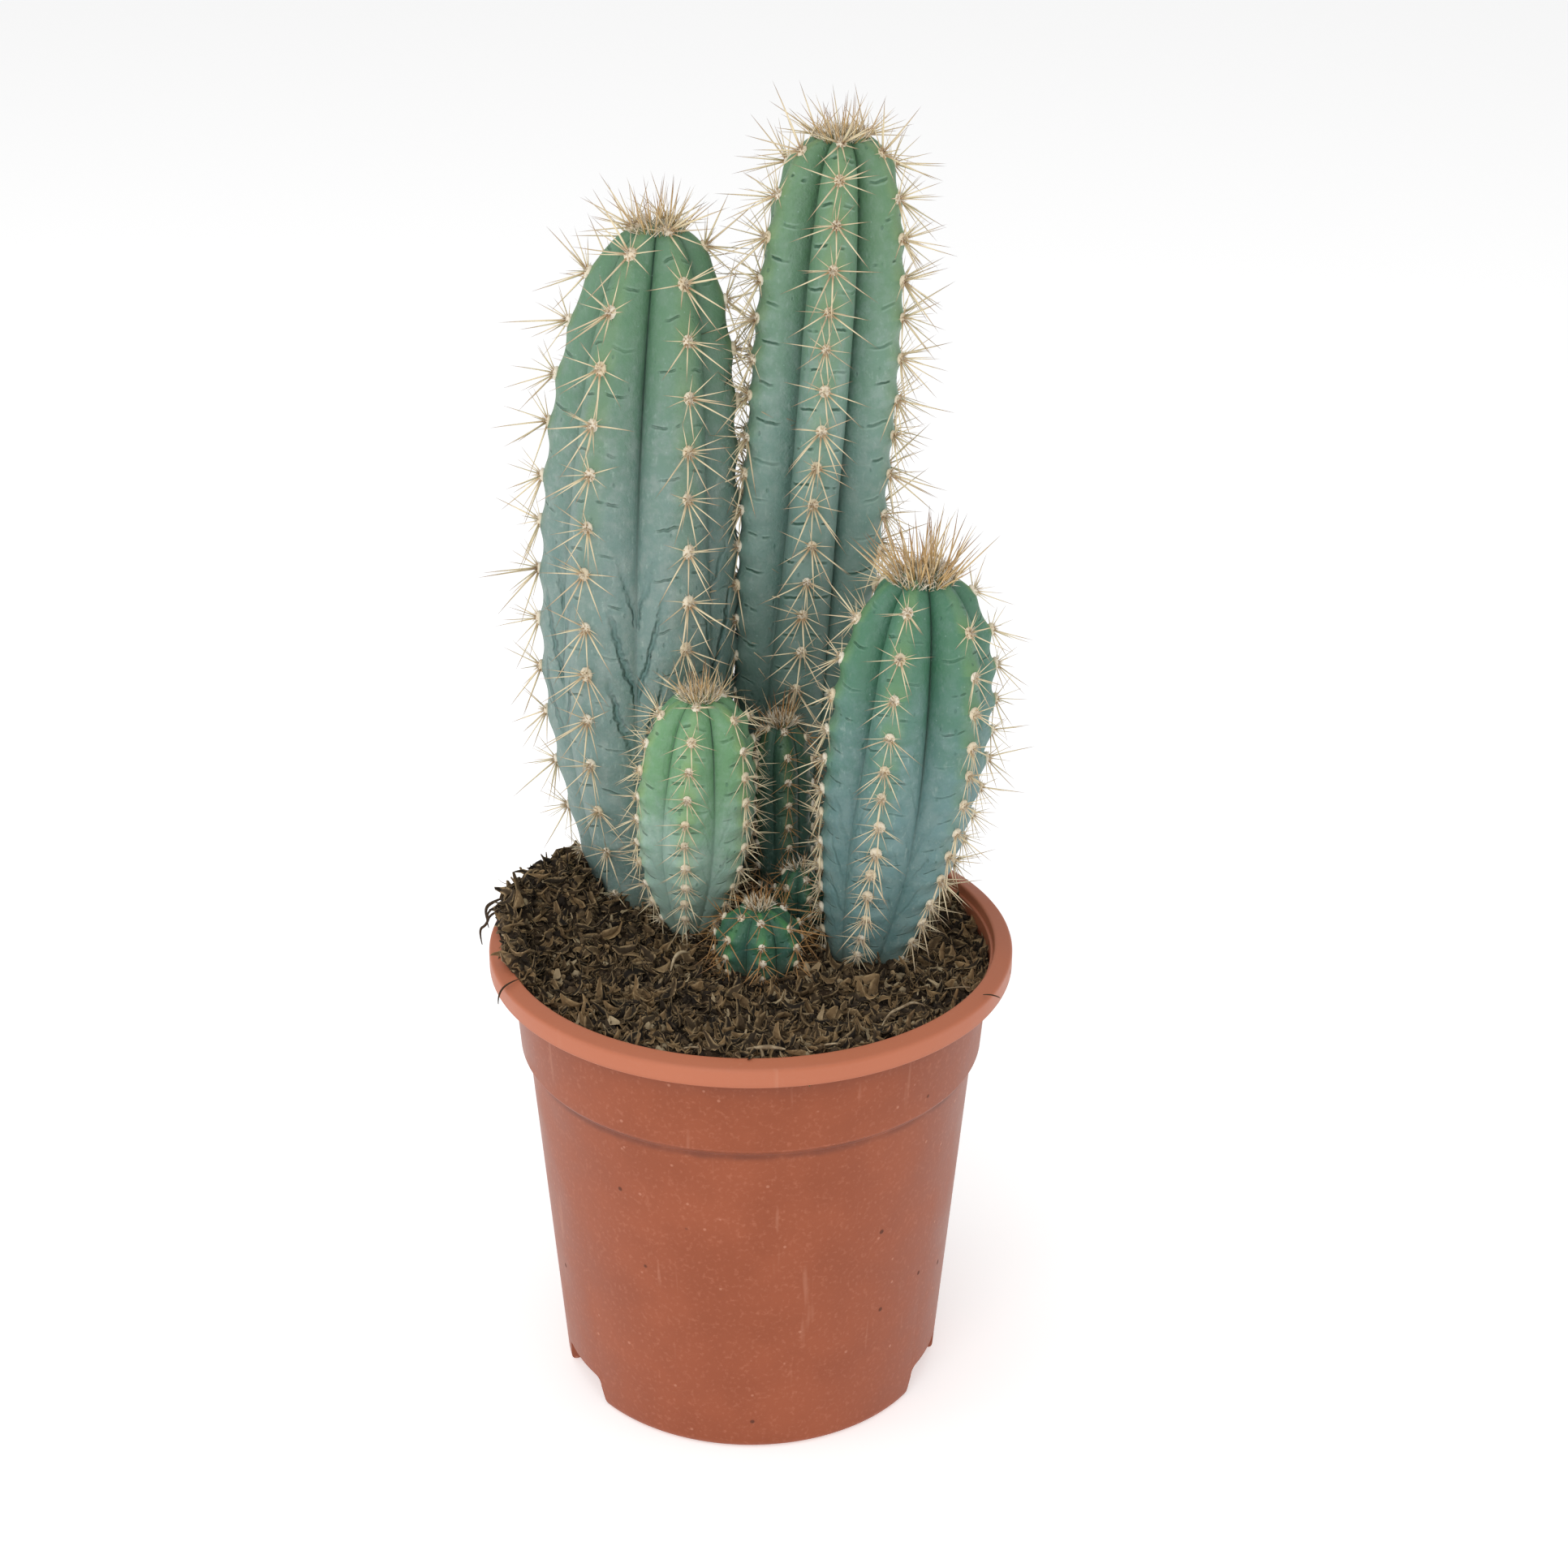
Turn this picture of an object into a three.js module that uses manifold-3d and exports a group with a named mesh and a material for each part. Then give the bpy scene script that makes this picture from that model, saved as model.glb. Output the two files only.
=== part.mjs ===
// Potted tall cactus: a clump of seven ribbed columnar stems in peat, in a moulded nursery pot.
// Millimetres, +Z up. The origin is the centre of the pot's foot, on the surface it stands on.
// +X is to the right and -Y is the front. Angles on stems are measured from the front, towards +X.
import * as THREE from 'three';
import { mergeVertices } from 'three/addons/utils/BufferGeometryUtils.js';
import Module from 'manifold-3d';

const wasm = await Module();
wasm.setup();

const gap = 0.3;

// Pot
const potHeight = 120.5;
const rimRadius = 65;
const rimInnerRadius = 60.5;
const rimEdgeHeight = 119.4;
const skirtBottom = 114.6;
const skirtThickness = 1.3;
const collarTop = { radius: 59.5, height: 114.5 };
const collarBottom = { radius: 57.8, height: 93 };
const ledgeHeight = 91.3;
const footRadius = 48.2;
const wallSlope = 0.084;
const wallThickness = 1.4;
const footRingWidth = 3.4;
const footEdgeRound = 1.8;
const baseUnderside = 8.3;
const baseThickness = 1.6;
const potSegments = 48;
const potFacetTurn = 1.9;

// Cut-outs in the pot's foot and base
const notchAngles = [69, -63, 111, -117];
const notchWidth = 19;
const notchFlare = 2;
const notchHeight = 8;
const notchRound = 2.5;
const drainAngles = [48, 138, 228, 318];
const drainWidth = 3.6;
const drainLength = 13;
const drainRadius = 40;

// Soil
const soilLevel = 115.6;
const soilRings = 7;
const soilSegments = 40;

// Stems. foot is the buried end, crown the top of the flesh and bow the middle point that the axis
// leans towards. widest is the height where radius is reached. turn is the angle of one rib's crest.
const stems = [
  {
    name: 'stem_tall_left', ribs: 6, turn: 30, radius: 24.3, footRadius: 12, widest: 186,
    foot: [-26.4, 34.4, 106], bow: [-31.4, 42, 205], crown: [-22.2, 40.5, 289],
    swell: 1.2, dome: 2.7, valley: 0.63, color: '#6b9285',
  },
  {
    name: 'stem_tall_back', ribs: 6, turn: -2, radius: 19.7, footRadius: 9, widest: 236,
    foot: [5.6, 45.2, 104], bow: [17, 45.2, 222], crown: [21.4, 44, 309.4],
    swell: 0.8, dome: 3.3, valley: 0.52, color: '#5d857c',
  },
  {
    name: 'stem_right', ribs: 6, turn: -18, radius: 19.7, footRadius: 5.5, widest: 175,
    foot: [26.8, 3, 104], bow: [39.8, 2, 158], crown: [40.5, 2, 216],
    swell: 0.75, dome: 2.4, valley: 0.57, color: '#557f7c',
  },
  {
    name: 'stem_front_left', ribs: 6, turn: -8, radius: 14.7, footRadius: 2, widest: 150,
    foot: [-15.8, 15.5, 105], bow: [-14, 5.5, 140], crown: [-12.2, 4, 183],
    swell: 1.25, dome: 3, valley: 0.66, color: '#6a9670',
  },
  {
    name: 'offset_middle', ribs: 5, turn: 12, radius: 7.3, footRadius: 4, widest: 154,
    foot: [8.6, 26, 105], bow: [8, 23, 138], crown: [7.5, 20.5, 169.5],
    swell: 0.6, dome: 2.3, valley: 0.7, color: '#4d7a6c',
  },
  {
    name: 'offset_small', ribs: 6, turn: 20, radius: 6.2, footRadius: 3, widest: 125,
    foot: [12.6, 11, 106], bow: [12.6, 10.5, 120], crown: [12.4, 10, 134],
    swell: 0.7, dome: 2.3, valley: 0.75, color: '#4f7a72',
  },
  {
    name: 'offset_front', ribs: 7, turn: 4, radius: 10.5, footRadius: 4.5, widest: 121.5,
    foot: [2.2, -6, 107], bow: [2, -6.5, 120], crown: [2, -7.5, 132],
    swell: 0.7, dome: 2.2, valley: 0.78, color: '#4f7f74',
  },
];
const stepsPerRib = { column: 6, offset: 4 };
const footValley = 0.86;

const radians = THREE.MathUtils.degToRad;
const smoothstep = THREE.MathUtils.smoothstep;

function plastic() {
  return new THREE.MeshStandardMaterial({ color: '#a65c43', roughness: 0.45, metalness: 0 });
}

function peat() {
  return new THREE.MeshStandardMaterial({ color: '#3b2c20', roughness: 0.95, metalness: 0 });
}

function flesh(color) {
  return new THREE.MeshStandardMaterial({ color, roughness: 0.6, metalness: 0 });
}

// A closed three.js geometry as a solid for cutting.
function toSolid(geometry) {
  const bare = geometry.clone();
  bare.deleteAttribute('normal');
  bare.deleteAttribute('uv');
  const merged = mergeVertices(bare, 1e-4);
  const vertProperties = new Float32Array(merged.attributes.position.array);
  const triVerts = new Uint32Array(merged.index.array);
  return new wasm.Manifold(new wasm.Mesh({ numProp: 3, vertProperties, triVerts }));
}

function toGeometry(solid) {
  const mesh = solid.getMesh();
  const geometry = new THREE.BufferGeometry();
  geometry.setAttribute('position', new THREE.BufferAttribute(mesh.vertProperties, 3));
  geometry.setIndex(new THREE.BufferAttribute(mesh.triVerts, 1));
  geometry.computeVertexNormals();
  return geometry;
}

// A turned shape standing on Z, from a profile of [radius, height] points that runs anticlockwise.
function turned(profile, segments) {
  const points = profile.map(([radius, height]) => new THREE.Vector2(radius, height));
  const geometry = new THREE.LatheGeometry(points, segments);
  geometry.rotateX(Math.PI / 2);
  return geometry;
}

function wallRadius(height) {
  return footRadius + wallSlope * height;
}

// The inside of the pot's wall at a height, where the soil touches it.
function insideRadius(height) {
  if (height < ledgeHeight) {
    return wallRadius(height) - wallThickness;
  }
  const share = (height - ledgeHeight) / (potHeight - ledgeHeight);
  const start = collarBottom.radius - wallThickness;
  return THREE.MathUtils.lerp(start, rimInnerRadius, Math.min(share, 1));
}

function potProfile() {
  const floor = baseUnderside + baseThickness;
  const grooveTop = rimEdgeHeight - skirtThickness;
  return [
    [0, baseUnderside],
    [footRadius - footRingWidth, baseUnderside],
    [footRadius - footRingWidth, 0],
    [footRadius - footEdgeRound, 0],
    [wallRadius(footEdgeRound), footEdgeRound],
    [wallRadius(ledgeHeight), ledgeHeight],
    [collarBottom.radius, collarBottom.height],
    [collarTop.radius, collarTop.height],
    [collarTop.radius, grooveTop],
    [rimRadius - skirtThickness, grooveTop],
    [rimRadius - skirtThickness, skirtBottom],
    [rimRadius, skirtBottom],
    [rimRadius, rimEdgeHeight],
    [rimInnerRadius, potHeight],
    [insideRadius(ledgeHeight), ledgeHeight],
    [wallRadius(ledgeHeight) - wallThickness, ledgeHeight - wallThickness],
    [insideRadius(floor + footEdgeRound), floor + footEdgeRound],
    [insideRadius(floor) - footEdgeRound, floor],
    [0, floor],
  ];
}

// A point at an angle from the front, towards +X.
function around(angle, radius) {
  return [radius * Math.sin(angle), -radius * Math.cos(angle)];
}

// A cutter that goes out through the foot ring: an arch with slanted sides and rounded shoulders.
function notchCutter(angleDegrees) {
  const half = notchWidth / 2;
  const floor = half + notchFlare;
  const arch = new THREE.Shape();
  arch.moveTo(-floor - notchFlare / notchHeight, -1);
  arch.lineTo(floor + notchFlare / notchHeight, -1);
  arch.lineTo(half, notchHeight - notchRound);
  arch.quadraticCurveTo(half, notchHeight, half - notchRound, notchHeight);
  arch.lineTo(notchRound - half, notchHeight);
  arch.quadraticCurveTo(-half, notchHeight, -half, notchHeight - notchRound);
  const cutter = new THREE.ExtrudeGeometry(arch, {
    depth: 2 * footRingWidth + 4, bevelEnabled: false, curveSegments: 4,
  });
  cutter.rotateX(Math.PI / 2);
  cutter.translate(0, -(footRadius - footRingWidth - 3), 0);
  cutter.rotateZ(radians(angleDegrees));
  return toSolid(cutter);
}

function drainCutter(angleDegrees) {
  const slot = new THREE.BoxGeometry(drainLength, drainWidth, 4 * baseThickness);
  slot.translate(0, -drainRadius, baseUnderside);
  slot.rotateZ(radians(angleDegrees));
  return toSolid(slot);
}

// The facets are turned a little, so that none of them lies along an axis.
function potGeometry() {
  const body = turned(potProfile(), potSegments);
  body.rotateZ(radians(potFacetTurn));
  let pot = toSolid(body);
  for (const angle of notchAngles) {
    pot = pot.subtract(notchCutter(angle));
  }
  for (const angle of drainAngles) {
    pot = pot.subtract(drainCutter(angle));
  }
  return toGeometry(pot);
}

// The stem's crest radius at a height: it swells from the foot, then closes as a dome.
function crestRadius(stem, height) {
  const rise = (height - stem.foot[2]) / (stem.widest - stem.foot[2]);
  if (rise < 1) {
    const swell = Math.sin(rise * Math.PI / 2) ** stem.swell;
    return THREE.MathUtils.lerp(stem.footRadius, stem.radius, swell);
  }
  const close = (height - stem.widest) / (stem.crown[2] - stem.widest);
  return stem.radius * Math.max(1 - close ** stem.dome, 0) ** (1 / stem.dome);
}

// Levels for the rings, closer together towards the crown.
function stemLevels(stem) {
  const length = stem.crown[2] - stem.foot[2];
  const count = Math.round(5 + length / 16);
  const levels = [];
  for (let step = 0; step <= count; step += 1) {
    levels.push(stem.foot[2] + length * Math.sin((step / count) * Math.PI / 2) ** 1.1);
  }
  return levels;
}

function stemAxis(stem) {
  const [foot, bow, crown] = [stem.foot, stem.bow, stem.crown].map((p) => new THREE.Vector3(...p));
  return new THREE.QuadraticBezierCurve3(foot, bow, crown);
}

// The axis point at a height. The curve's heights rise steadily, so halving finds it.
function axisAt(axis, height) {
  let [low, high] = [0, 1];
  for (let step = 0; step < 24; step += 1) {
    const middle = (low + high) / 2;
    if (axis.getPoint(middle).z < height) {
      low = middle;
    } else {
      high = middle;
    }
  }
  return axis.getPoint((low + high) / 2);
}

// How far the surface stands out at an angle from a crest, from the valley's share up to 1.
function ribShare(stem, angle, height) {
  const rise = Math.min((height - stem.foot[2]) / (stem.widest - stem.foot[2]), 1);
  const valley = THREE.MathUtils.lerp(footValley, stem.valley, rise);
  return valley + (1 - valley) * Math.abs(Math.cos(angle * stem.ribs / 2));
}

// A ribbed column: a turned shape whose rings are pressed in between the ribs and moved to the axis.
function stemGeometry(stem, clearance = 0) {
  const profile = stemLevels(stem).map((height) => [crestRadius(stem, height), height]);
  profile[0][0] = stem.footRadius;
  profile[profile.length - 1][0] = 0;
  const closed = [[0, stem.foot[2]], ...profile];
  const steps = stem.radius > 12 ? stepsPerRib.column : stepsPerRib.offset;
  const geometry = turned(closed, stem.ribs * steps);
  const axis = stemAxis(stem);
  const places = geometry.attributes.position;
  for (let index = 0; index < places.count; index += 1) {
    const [x, y, height] = [places.getX(index), places.getY(index), places.getZ(index)];
    const radius = Math.hypot(x, y);
    const turn = Math.atan2(x, -y);
    const share = ribShare(stem, turn, height);
    const centre = axisAt(axis, height);
    const reach = radius > 0 ? radius * share + clearance : 0;
    const [out, front] = around(turn + radians(stem.turn), reach);
    const drop = height === stem.foot[2] ? clearance : 0;
    places.setXYZ(index, centre.x + out, centre.y + front, height - drop);
  }
  return geometry;
}

// The top of the soil: heaped at the back left, a little raised along the front, low at the right.
function soilHeight(x, y) {
  const heap = 10.5 * Math.exp(-(((x + 52) / 13) ** 2) - ((y - 26) / 17) ** 2);
  const bank = 3 * smoothstep(-y, 30, 58);
  const dip = 2.4 * Math.exp(-(((x - 57) / 12) ** 2) - ((y - 6) / 26) ** 2);
  const ripple = 0.5 * Math.sin(x / 5.3) * Math.cos(y / 6.1);
  return soilLevel + heap + bank - dip + ripple;
}

// Soil fills the pot. Its underside and wall follow the pot, and each stem sits in its own socket.
function soilGeometry() {
  const floor = baseUnderside + baseThickness + gap;
  const corner = floor + footEdgeRound;
  const edge = ledgeHeight + 3;
  const profile = [
    [0, floor],
    [insideRadius(floor) - footEdgeRound - gap, floor],
    [insideRadius(corner) - gap, corner],
    [wallRadius(ledgeHeight) - wallThickness - gap - 0.1, ledgeHeight - wallThickness],
    [insideRadius(edge) - gap, edge],
  ];
  for (let ring = 0; ring <= soilRings; ring += 1) {
    profile.push([insideRadius(soilLevel) * (1 - ring / soilRings), soilLevel]);
  }
  const geometry = turned(profile, soilSegments);
  const places = geometry.attributes.position;
  for (let index = 0; index < places.count; index += 1) {
    if (places.getZ(index) > edge + 1) {
      const [x, y] = [places.getX(index), places.getY(index)];
      const height = soilHeight(x, y);
      const reach = Math.hypot(x, y);
      const limit = insideRadius(Math.min(height, soilLevel)) - 2 * gap;
      const shrink = reach > limit ? limit / reach : 1;
      places.setXYZ(index, x * shrink, y * shrink, height);
    }
  }
  let soil = toSolid(geometry);
  for (const stem of stems) {
    soil = soil.subtract(toSolid(stemGeometry(stem, gap)));
  }
  return toGeometry(soil);
}

function namedMesh(name, geometry, material) {
  const mesh = new THREE.Mesh(geometry, material);
  mesh.name = name;
  return mesh;
}

const plant = new THREE.Group();
plant.name = 'potted_tall_cactus';
plant.add(namedMesh('pot', potGeometry(), plastic()));
plant.add(namedMesh('soil', soilGeometry(), peat()));
for (const stem of stems) {
  plant.add(namedMesh(stem.name, stemGeometry(stem), flesh(stem.color)));
}

export default plant;
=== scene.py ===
import math

import bmesh
import bpy
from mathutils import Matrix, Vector, noise


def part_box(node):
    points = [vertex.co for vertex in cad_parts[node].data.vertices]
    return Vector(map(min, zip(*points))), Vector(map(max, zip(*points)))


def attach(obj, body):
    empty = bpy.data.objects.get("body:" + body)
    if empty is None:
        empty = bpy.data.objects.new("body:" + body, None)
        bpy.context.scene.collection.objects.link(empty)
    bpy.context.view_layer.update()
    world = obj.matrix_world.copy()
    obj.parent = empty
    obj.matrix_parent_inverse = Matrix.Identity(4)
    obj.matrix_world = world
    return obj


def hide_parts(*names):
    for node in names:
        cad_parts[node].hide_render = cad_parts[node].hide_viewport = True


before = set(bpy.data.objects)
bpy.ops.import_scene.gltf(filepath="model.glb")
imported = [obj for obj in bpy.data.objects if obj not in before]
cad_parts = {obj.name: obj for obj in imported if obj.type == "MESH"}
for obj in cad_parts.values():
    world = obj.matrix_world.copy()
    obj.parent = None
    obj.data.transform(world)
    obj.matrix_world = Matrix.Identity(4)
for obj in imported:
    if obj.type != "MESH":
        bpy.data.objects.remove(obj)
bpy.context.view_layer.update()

mm = 0.001


# ---- Pot ----
# A nursery pot, injection moulded in thin terracotta-coloured polypropylene. It is one piece: a
# tapered wall with a stacking ledge and collar, a turned-down rim, a foot ring with four arched
# notches and a raised base with drain slots.
pot_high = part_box("pot")[1]
pot_height = pot_high.z
rim_radius = pot_high.x
rim_inner_radius = 60.5 * mm
rim_edge_height = 119.4 * mm
skirt_bottom = 114.6 * mm
skirt_thickness = 1.3 * mm
collar_top = (59.5 * mm, 114.5 * mm)
collar_bottom = (57.8 * mm, 93 * mm)
ledge_height = 91.3 * mm
foot_radius = 48.2 * mm
wall_slope = 0.084
wall_thickness = 1.4 * mm
foot_ring_width = 3.4 * mm
base_underside = 8.3 * mm
base_thickness = 1.6 * mm
pot_segments = 288
notch_angles = (69, -63, 111, -117)
notch_width = 19 * mm
notch_flare = 2 * mm
notch_height = 8 * mm
notch_round = 2.5 * mm
drain_angles = (48, 138, 228, 318)
drain_size = (13 * mm, 3.6 * mm)
drain_radius = 40 * mm


def wall_radius(height):
    return foot_radius + wall_slope * height


def rounded(corners, steps=5):
    """Points along a profile of (radius, height, rounding) corners, each rounding as a short curve."""
    points = []
    for index, (radius, height, rounding) in enumerate(corners):
        corner = Vector((radius, height))
        if rounding == 0:
            points.append(corner)
            continue
        before = Vector(corners[index - 1][:2])
        after = Vector(corners[(index + 1) % len(corners)][:2])
        start = corner + (before - corner).normalized() * rounding
        end = corner + (after - corner).normalized() * rounding
        for step in range(steps + 1):
            share = step / steps
            points.append(start.lerp(corner, share).lerp(corner.lerp(end, share), share))
    return points


def turned(name, profile, segments):
    """A closed turned shape from a profile that starts and ends on the Z axis."""
    shape = bmesh.new()
    first = shape.verts.new((0, 0, profile[0].y))
    last = shape.verts.new((0, 0, profile[-1].y))
    rings = []
    for radius, height in profile[1:-1]:
        ring = []
        for step in range(segments):
            angle = 2 * math.pi * step / segments
            ring.append(shape.verts.new((radius * math.cos(angle), radius * math.sin(angle), height)))
        rings.append(ring)
    for step in range(segments):
        after = (step + 1) % segments
        shape.faces.new((first, rings[0][after], rings[0][step]))
        shape.faces.new((last, rings[-1][step], rings[-1][after]))
        for low, high in zip(rings, rings[1:]):
            shape.faces.new((low[step], low[after], high[after], high[step]))
    bmesh.ops.recalc_face_normals(shape, faces=shape.faces)
    mesh = bpy.data.meshes.new(name)
    shape.to_mesh(mesh)
    shape.free()
    piece = bpy.data.objects.new(name, mesh)
    bpy.context.collection.objects.link(piece)
    return piece


def prism(name, outline, depth, turn, start, upright):
    """A cutter: an outline pushed out from the Z axis, or straight up where upright is true."""
    shape = bmesh.new()
    near = []
    far = []
    for across, up in outline:
        if upright:
            ends = (Vector((across, up, start)), Vector((across, up, start + depth)))
        else:
            ends = (Vector((across, -start, up)), Vector((across, -start - depth, up)))
        near.append(shape.verts.new(ends[0]))
        far.append(shape.verts.new(ends[1]))
    shape.faces.new(near)
    shape.faces.new(far)
    for index in range(len(outline)):
        after = (index + 1) % len(outline)
        shape.faces.new((near[index], near[after], far[after], far[index]))
    bmesh.ops.recalc_face_normals(shape, faces=shape.faces)
    mesh = bpy.data.meshes.new(name)
    shape.to_mesh(mesh)
    shape.free()
    cutter = bpy.data.objects.new(name, mesh)
    cutter.rotation_euler.z = math.radians(turn)
    bpy.context.collection.objects.link(cutter)
    return cutter


floor_top = base_underside + base_thickness
groove_top = rim_edge_height - skirt_thickness
pot_profile = rounded([
    (0, base_underside, 0),
    (foot_radius - foot_ring_width, base_underside, 0.8 * mm),
    (foot_radius - foot_ring_width, 0, 0.5 * mm),
    (foot_radius, 0, 2.2 * mm),
    (wall_radius(ledge_height), ledge_height, 0.6 * mm),
    (*collar_bottom, 0.5 * mm),
    (*collar_top, 0),
    (collar_top[0], groove_top, 0.5 * mm),
    (rim_radius - skirt_thickness, groove_top, 0.5 * mm),
    (rim_radius - skirt_thickness, skirt_bottom, 0.4 * mm),
    (rim_radius, skirt_bottom, 0.5 * mm),
    (rim_radius, rim_edge_height, 0.9 * mm),
    (rim_inner_radius, pot_height, 0.8 * mm),
    (collar_bottom[0] - wall_thickness, ledge_height, 0.8 * mm),
    (wall_radius(ledge_height) - wall_thickness, ledge_height - wall_thickness, 0.5 * mm),
    (wall_radius(floor_top) - wall_thickness, floor_top, 2 * mm),
    (0, floor_top, 0),
])
pot = turned("pot_moulded", pot_profile, pot_segments)

half = notch_width / 2
arch = [Vector((-half - notch_flare, -1 * mm)), Vector((half + notch_flare, -1 * mm))]
for side in (1, -1):
    for step in range(7):
        share = step / 6 if side == 1 else 1 - step / 6
        low = Vector((side * half, notch_height - notch_round))
        top = Vector((side * (half - notch_round), notch_height))
        corner = Vector((side * half, notch_height))
        arch.append(low.lerp(corner, share).lerp(corner.lerp(top, share), share))
cutters = []
for angle in notch_angles:
    inside = foot_radius - foot_ring_width - 3 * mm
    cutters.append(prism("notch", arch, 2 * foot_ring_width + 4 * mm, angle, inside, False))
for angle in drain_angles:
    slot_outline = []
    for step in range(20):
        turn = 2 * math.pi * step / 20
        reach = (drain_size[0] - drain_size[1]) / 2 * (1 if math.cos(turn) >= 0 else -1)
        slot_outline.append((reach + drain_size[1] / 2 * math.cos(turn),
                             drain_size[1] / 2 * math.sin(turn) - drain_radius))
    cutters.append(prism("drain", slot_outline, 6 * mm, angle, base_underside - 2 * mm, True))
for cutter in cutters:
    cut = pot.modifiers.new("Cut", "BOOLEAN")
    cut.operation = "DIFFERENCE"
    cut.solver = "EXACT"
    cut.object = cutter
graph = bpy.context.evaluated_depsgraph_get()
cut_mesh = bpy.data.meshes.new_from_object(pot.evaluated_get(graph), depsgraph=graph)
pot.modifiers.clear()
pot.data = cut_mesh
for cutter in cutters:
    bpy.data.objects.remove(cutter)
pot.data.polygons.foreach_set("use_smooth", [True] * len(pot.data.polygons))
pot.data.set_sharp_from_angle(angle=math.radians(32))


def feed(socket, value):
    """Puts a plain value on a socket, or links a Term to it."""
    if isinstance(value, Term):
        value.tree.links.new(value.socket, socket)
    else:
        socket.default_value = value


class Term:
    """A value inside a node tree, so that a shape or a colour can be written as arithmetic."""

    def __init__(self, tree, socket):
        self.tree = tree
        self.socket = socket

    def math(self, operation, *others):
        node = self.tree.nodes.new("ShaderNodeMath")
        node.operation = operation
        for socket, value in zip(node.inputs, (self, *others)):
            feed(socket, value)
        return Term(self.tree, node.outputs[0])

    def vector(self, operation, *others):
        node = self.tree.nodes.new("ShaderNodeVectorMath")
        node.operation = operation
        for socket, value in zip(node.inputs, (self, *others)):
            feed(socket, value)
        return Term(self.tree, node.outputs[0])

    def times(self, factor):
        node = self.tree.nodes.new("ShaderNodeVectorMath")
        node.operation = "SCALE"
        feed(node.inputs[0], self)
        feed(node.inputs["Scale"], factor)
        return Term(self.tree, node.outputs[0])

    def parts(self):
        node = self.tree.nodes.new("ShaderNodeSeparateXYZ")
        feed(node.inputs[0], self)
        return [Term(self.tree, socket) for socket in node.outputs]

    def __add__(self, other):
        return self.math("ADD", other)

    def __sub__(self, other):
        return self.math("SUBTRACT", other)

    def __mul__(self, other):
        return self.math("MULTIPLY", other)

    def __truediv__(self, other):
        return self.math("DIVIDE", other)

    def __pow__(self, other):
        return self.math("POWER", other)

    def ramp(self, low, high, start=0.0, end=1.0):
        """A soft step from start to end as this value goes from low to high."""
        node = self.tree.nodes.new("ShaderNodeMapRange")
        node.interpolation_type = "SMOOTHSTEP"
        for socket, value in zip(node.inputs, (self, low, high, start, end)):
            feed(socket, value)
        return Term(self.tree, node.outputs[0])


def placed(tree, kind, inputs, **settings):
    """A node with its settings and inputs set. Its outputs are reached through result()."""
    node = tree.nodes.new(kind)
    for key, value in settings.items():
        setattr(node, key, value)
    for key, value in inputs.items():
        feed(node.inputs[key], value)
    return node


def result(node, key=0):
    return Term(node.id_data, node.outputs[key])


def colour(code):
    """A display colour such as a65c43 as the linear numbers that a shader takes."""
    values = [int(code[index:index + 2], 16) / 255 for index in (0, 2, 4)]
    linear = [v / 12.92 if v <= 0.04045 else ((v + 0.055) / 1.055) ** 2.4 for v in values]
    return (*linear, 1.0)


def new_material(name):
    material = bpy.data.materials.new(name)
    material.use_nodes = True
    tree = material.node_tree
    shader = tree.nodes["Principled BSDF"]
    return material, tree, shader


def object_place(tree):
    return Term(tree, tree.nodes.new("ShaderNodeTexCoord").outputs["Object"])


def grain(tree, place, scale, detail=3.0, roughness=0.55, stretch=None):
    """Cloudy noise from 0 to 1. stretch makes it longer along an axis."""
    if stretch:
        place = place.vector("MULTIPLY", stretch)
    inputs = {"Vector": place, "Scale": scale, "Detail": detail, "Roughness": roughness}
    return result(placed(tree, "ShaderNodeTexNoise", inputs))


def specks(tree, place, scale, size, density, stretch=None):
    """Small separate spots: 1 inside a spot, 0 outside. density is the share of cells with one."""
    if stretch:
        place = place.vector("MULTIPLY", stretch)
    cells = placed(tree, "ShaderNodeTexVoronoi", {"Vector": place, "Scale": scale})
    chosen = result(cells, "Color").parts()[0].math("LESS_THAN", density)
    return result(cells, "Distance").ramp(size, size * 0.5) * chosen


def mixed(tree, share, first, second):
    node = placed(tree, "ShaderNodeMix", {0: share, 6: first, 7: second}, data_type="RGBA")
    return result(node, 2)


def bumped(tree, height, distance, strength=1.0, under=None):
    inputs = {"Height": height, "Distance": distance, "Strength": strength}
    if under:
        inputs["Normal"] = under
    return result(placed(tree, "ShaderNodeBump", inputs))


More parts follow.
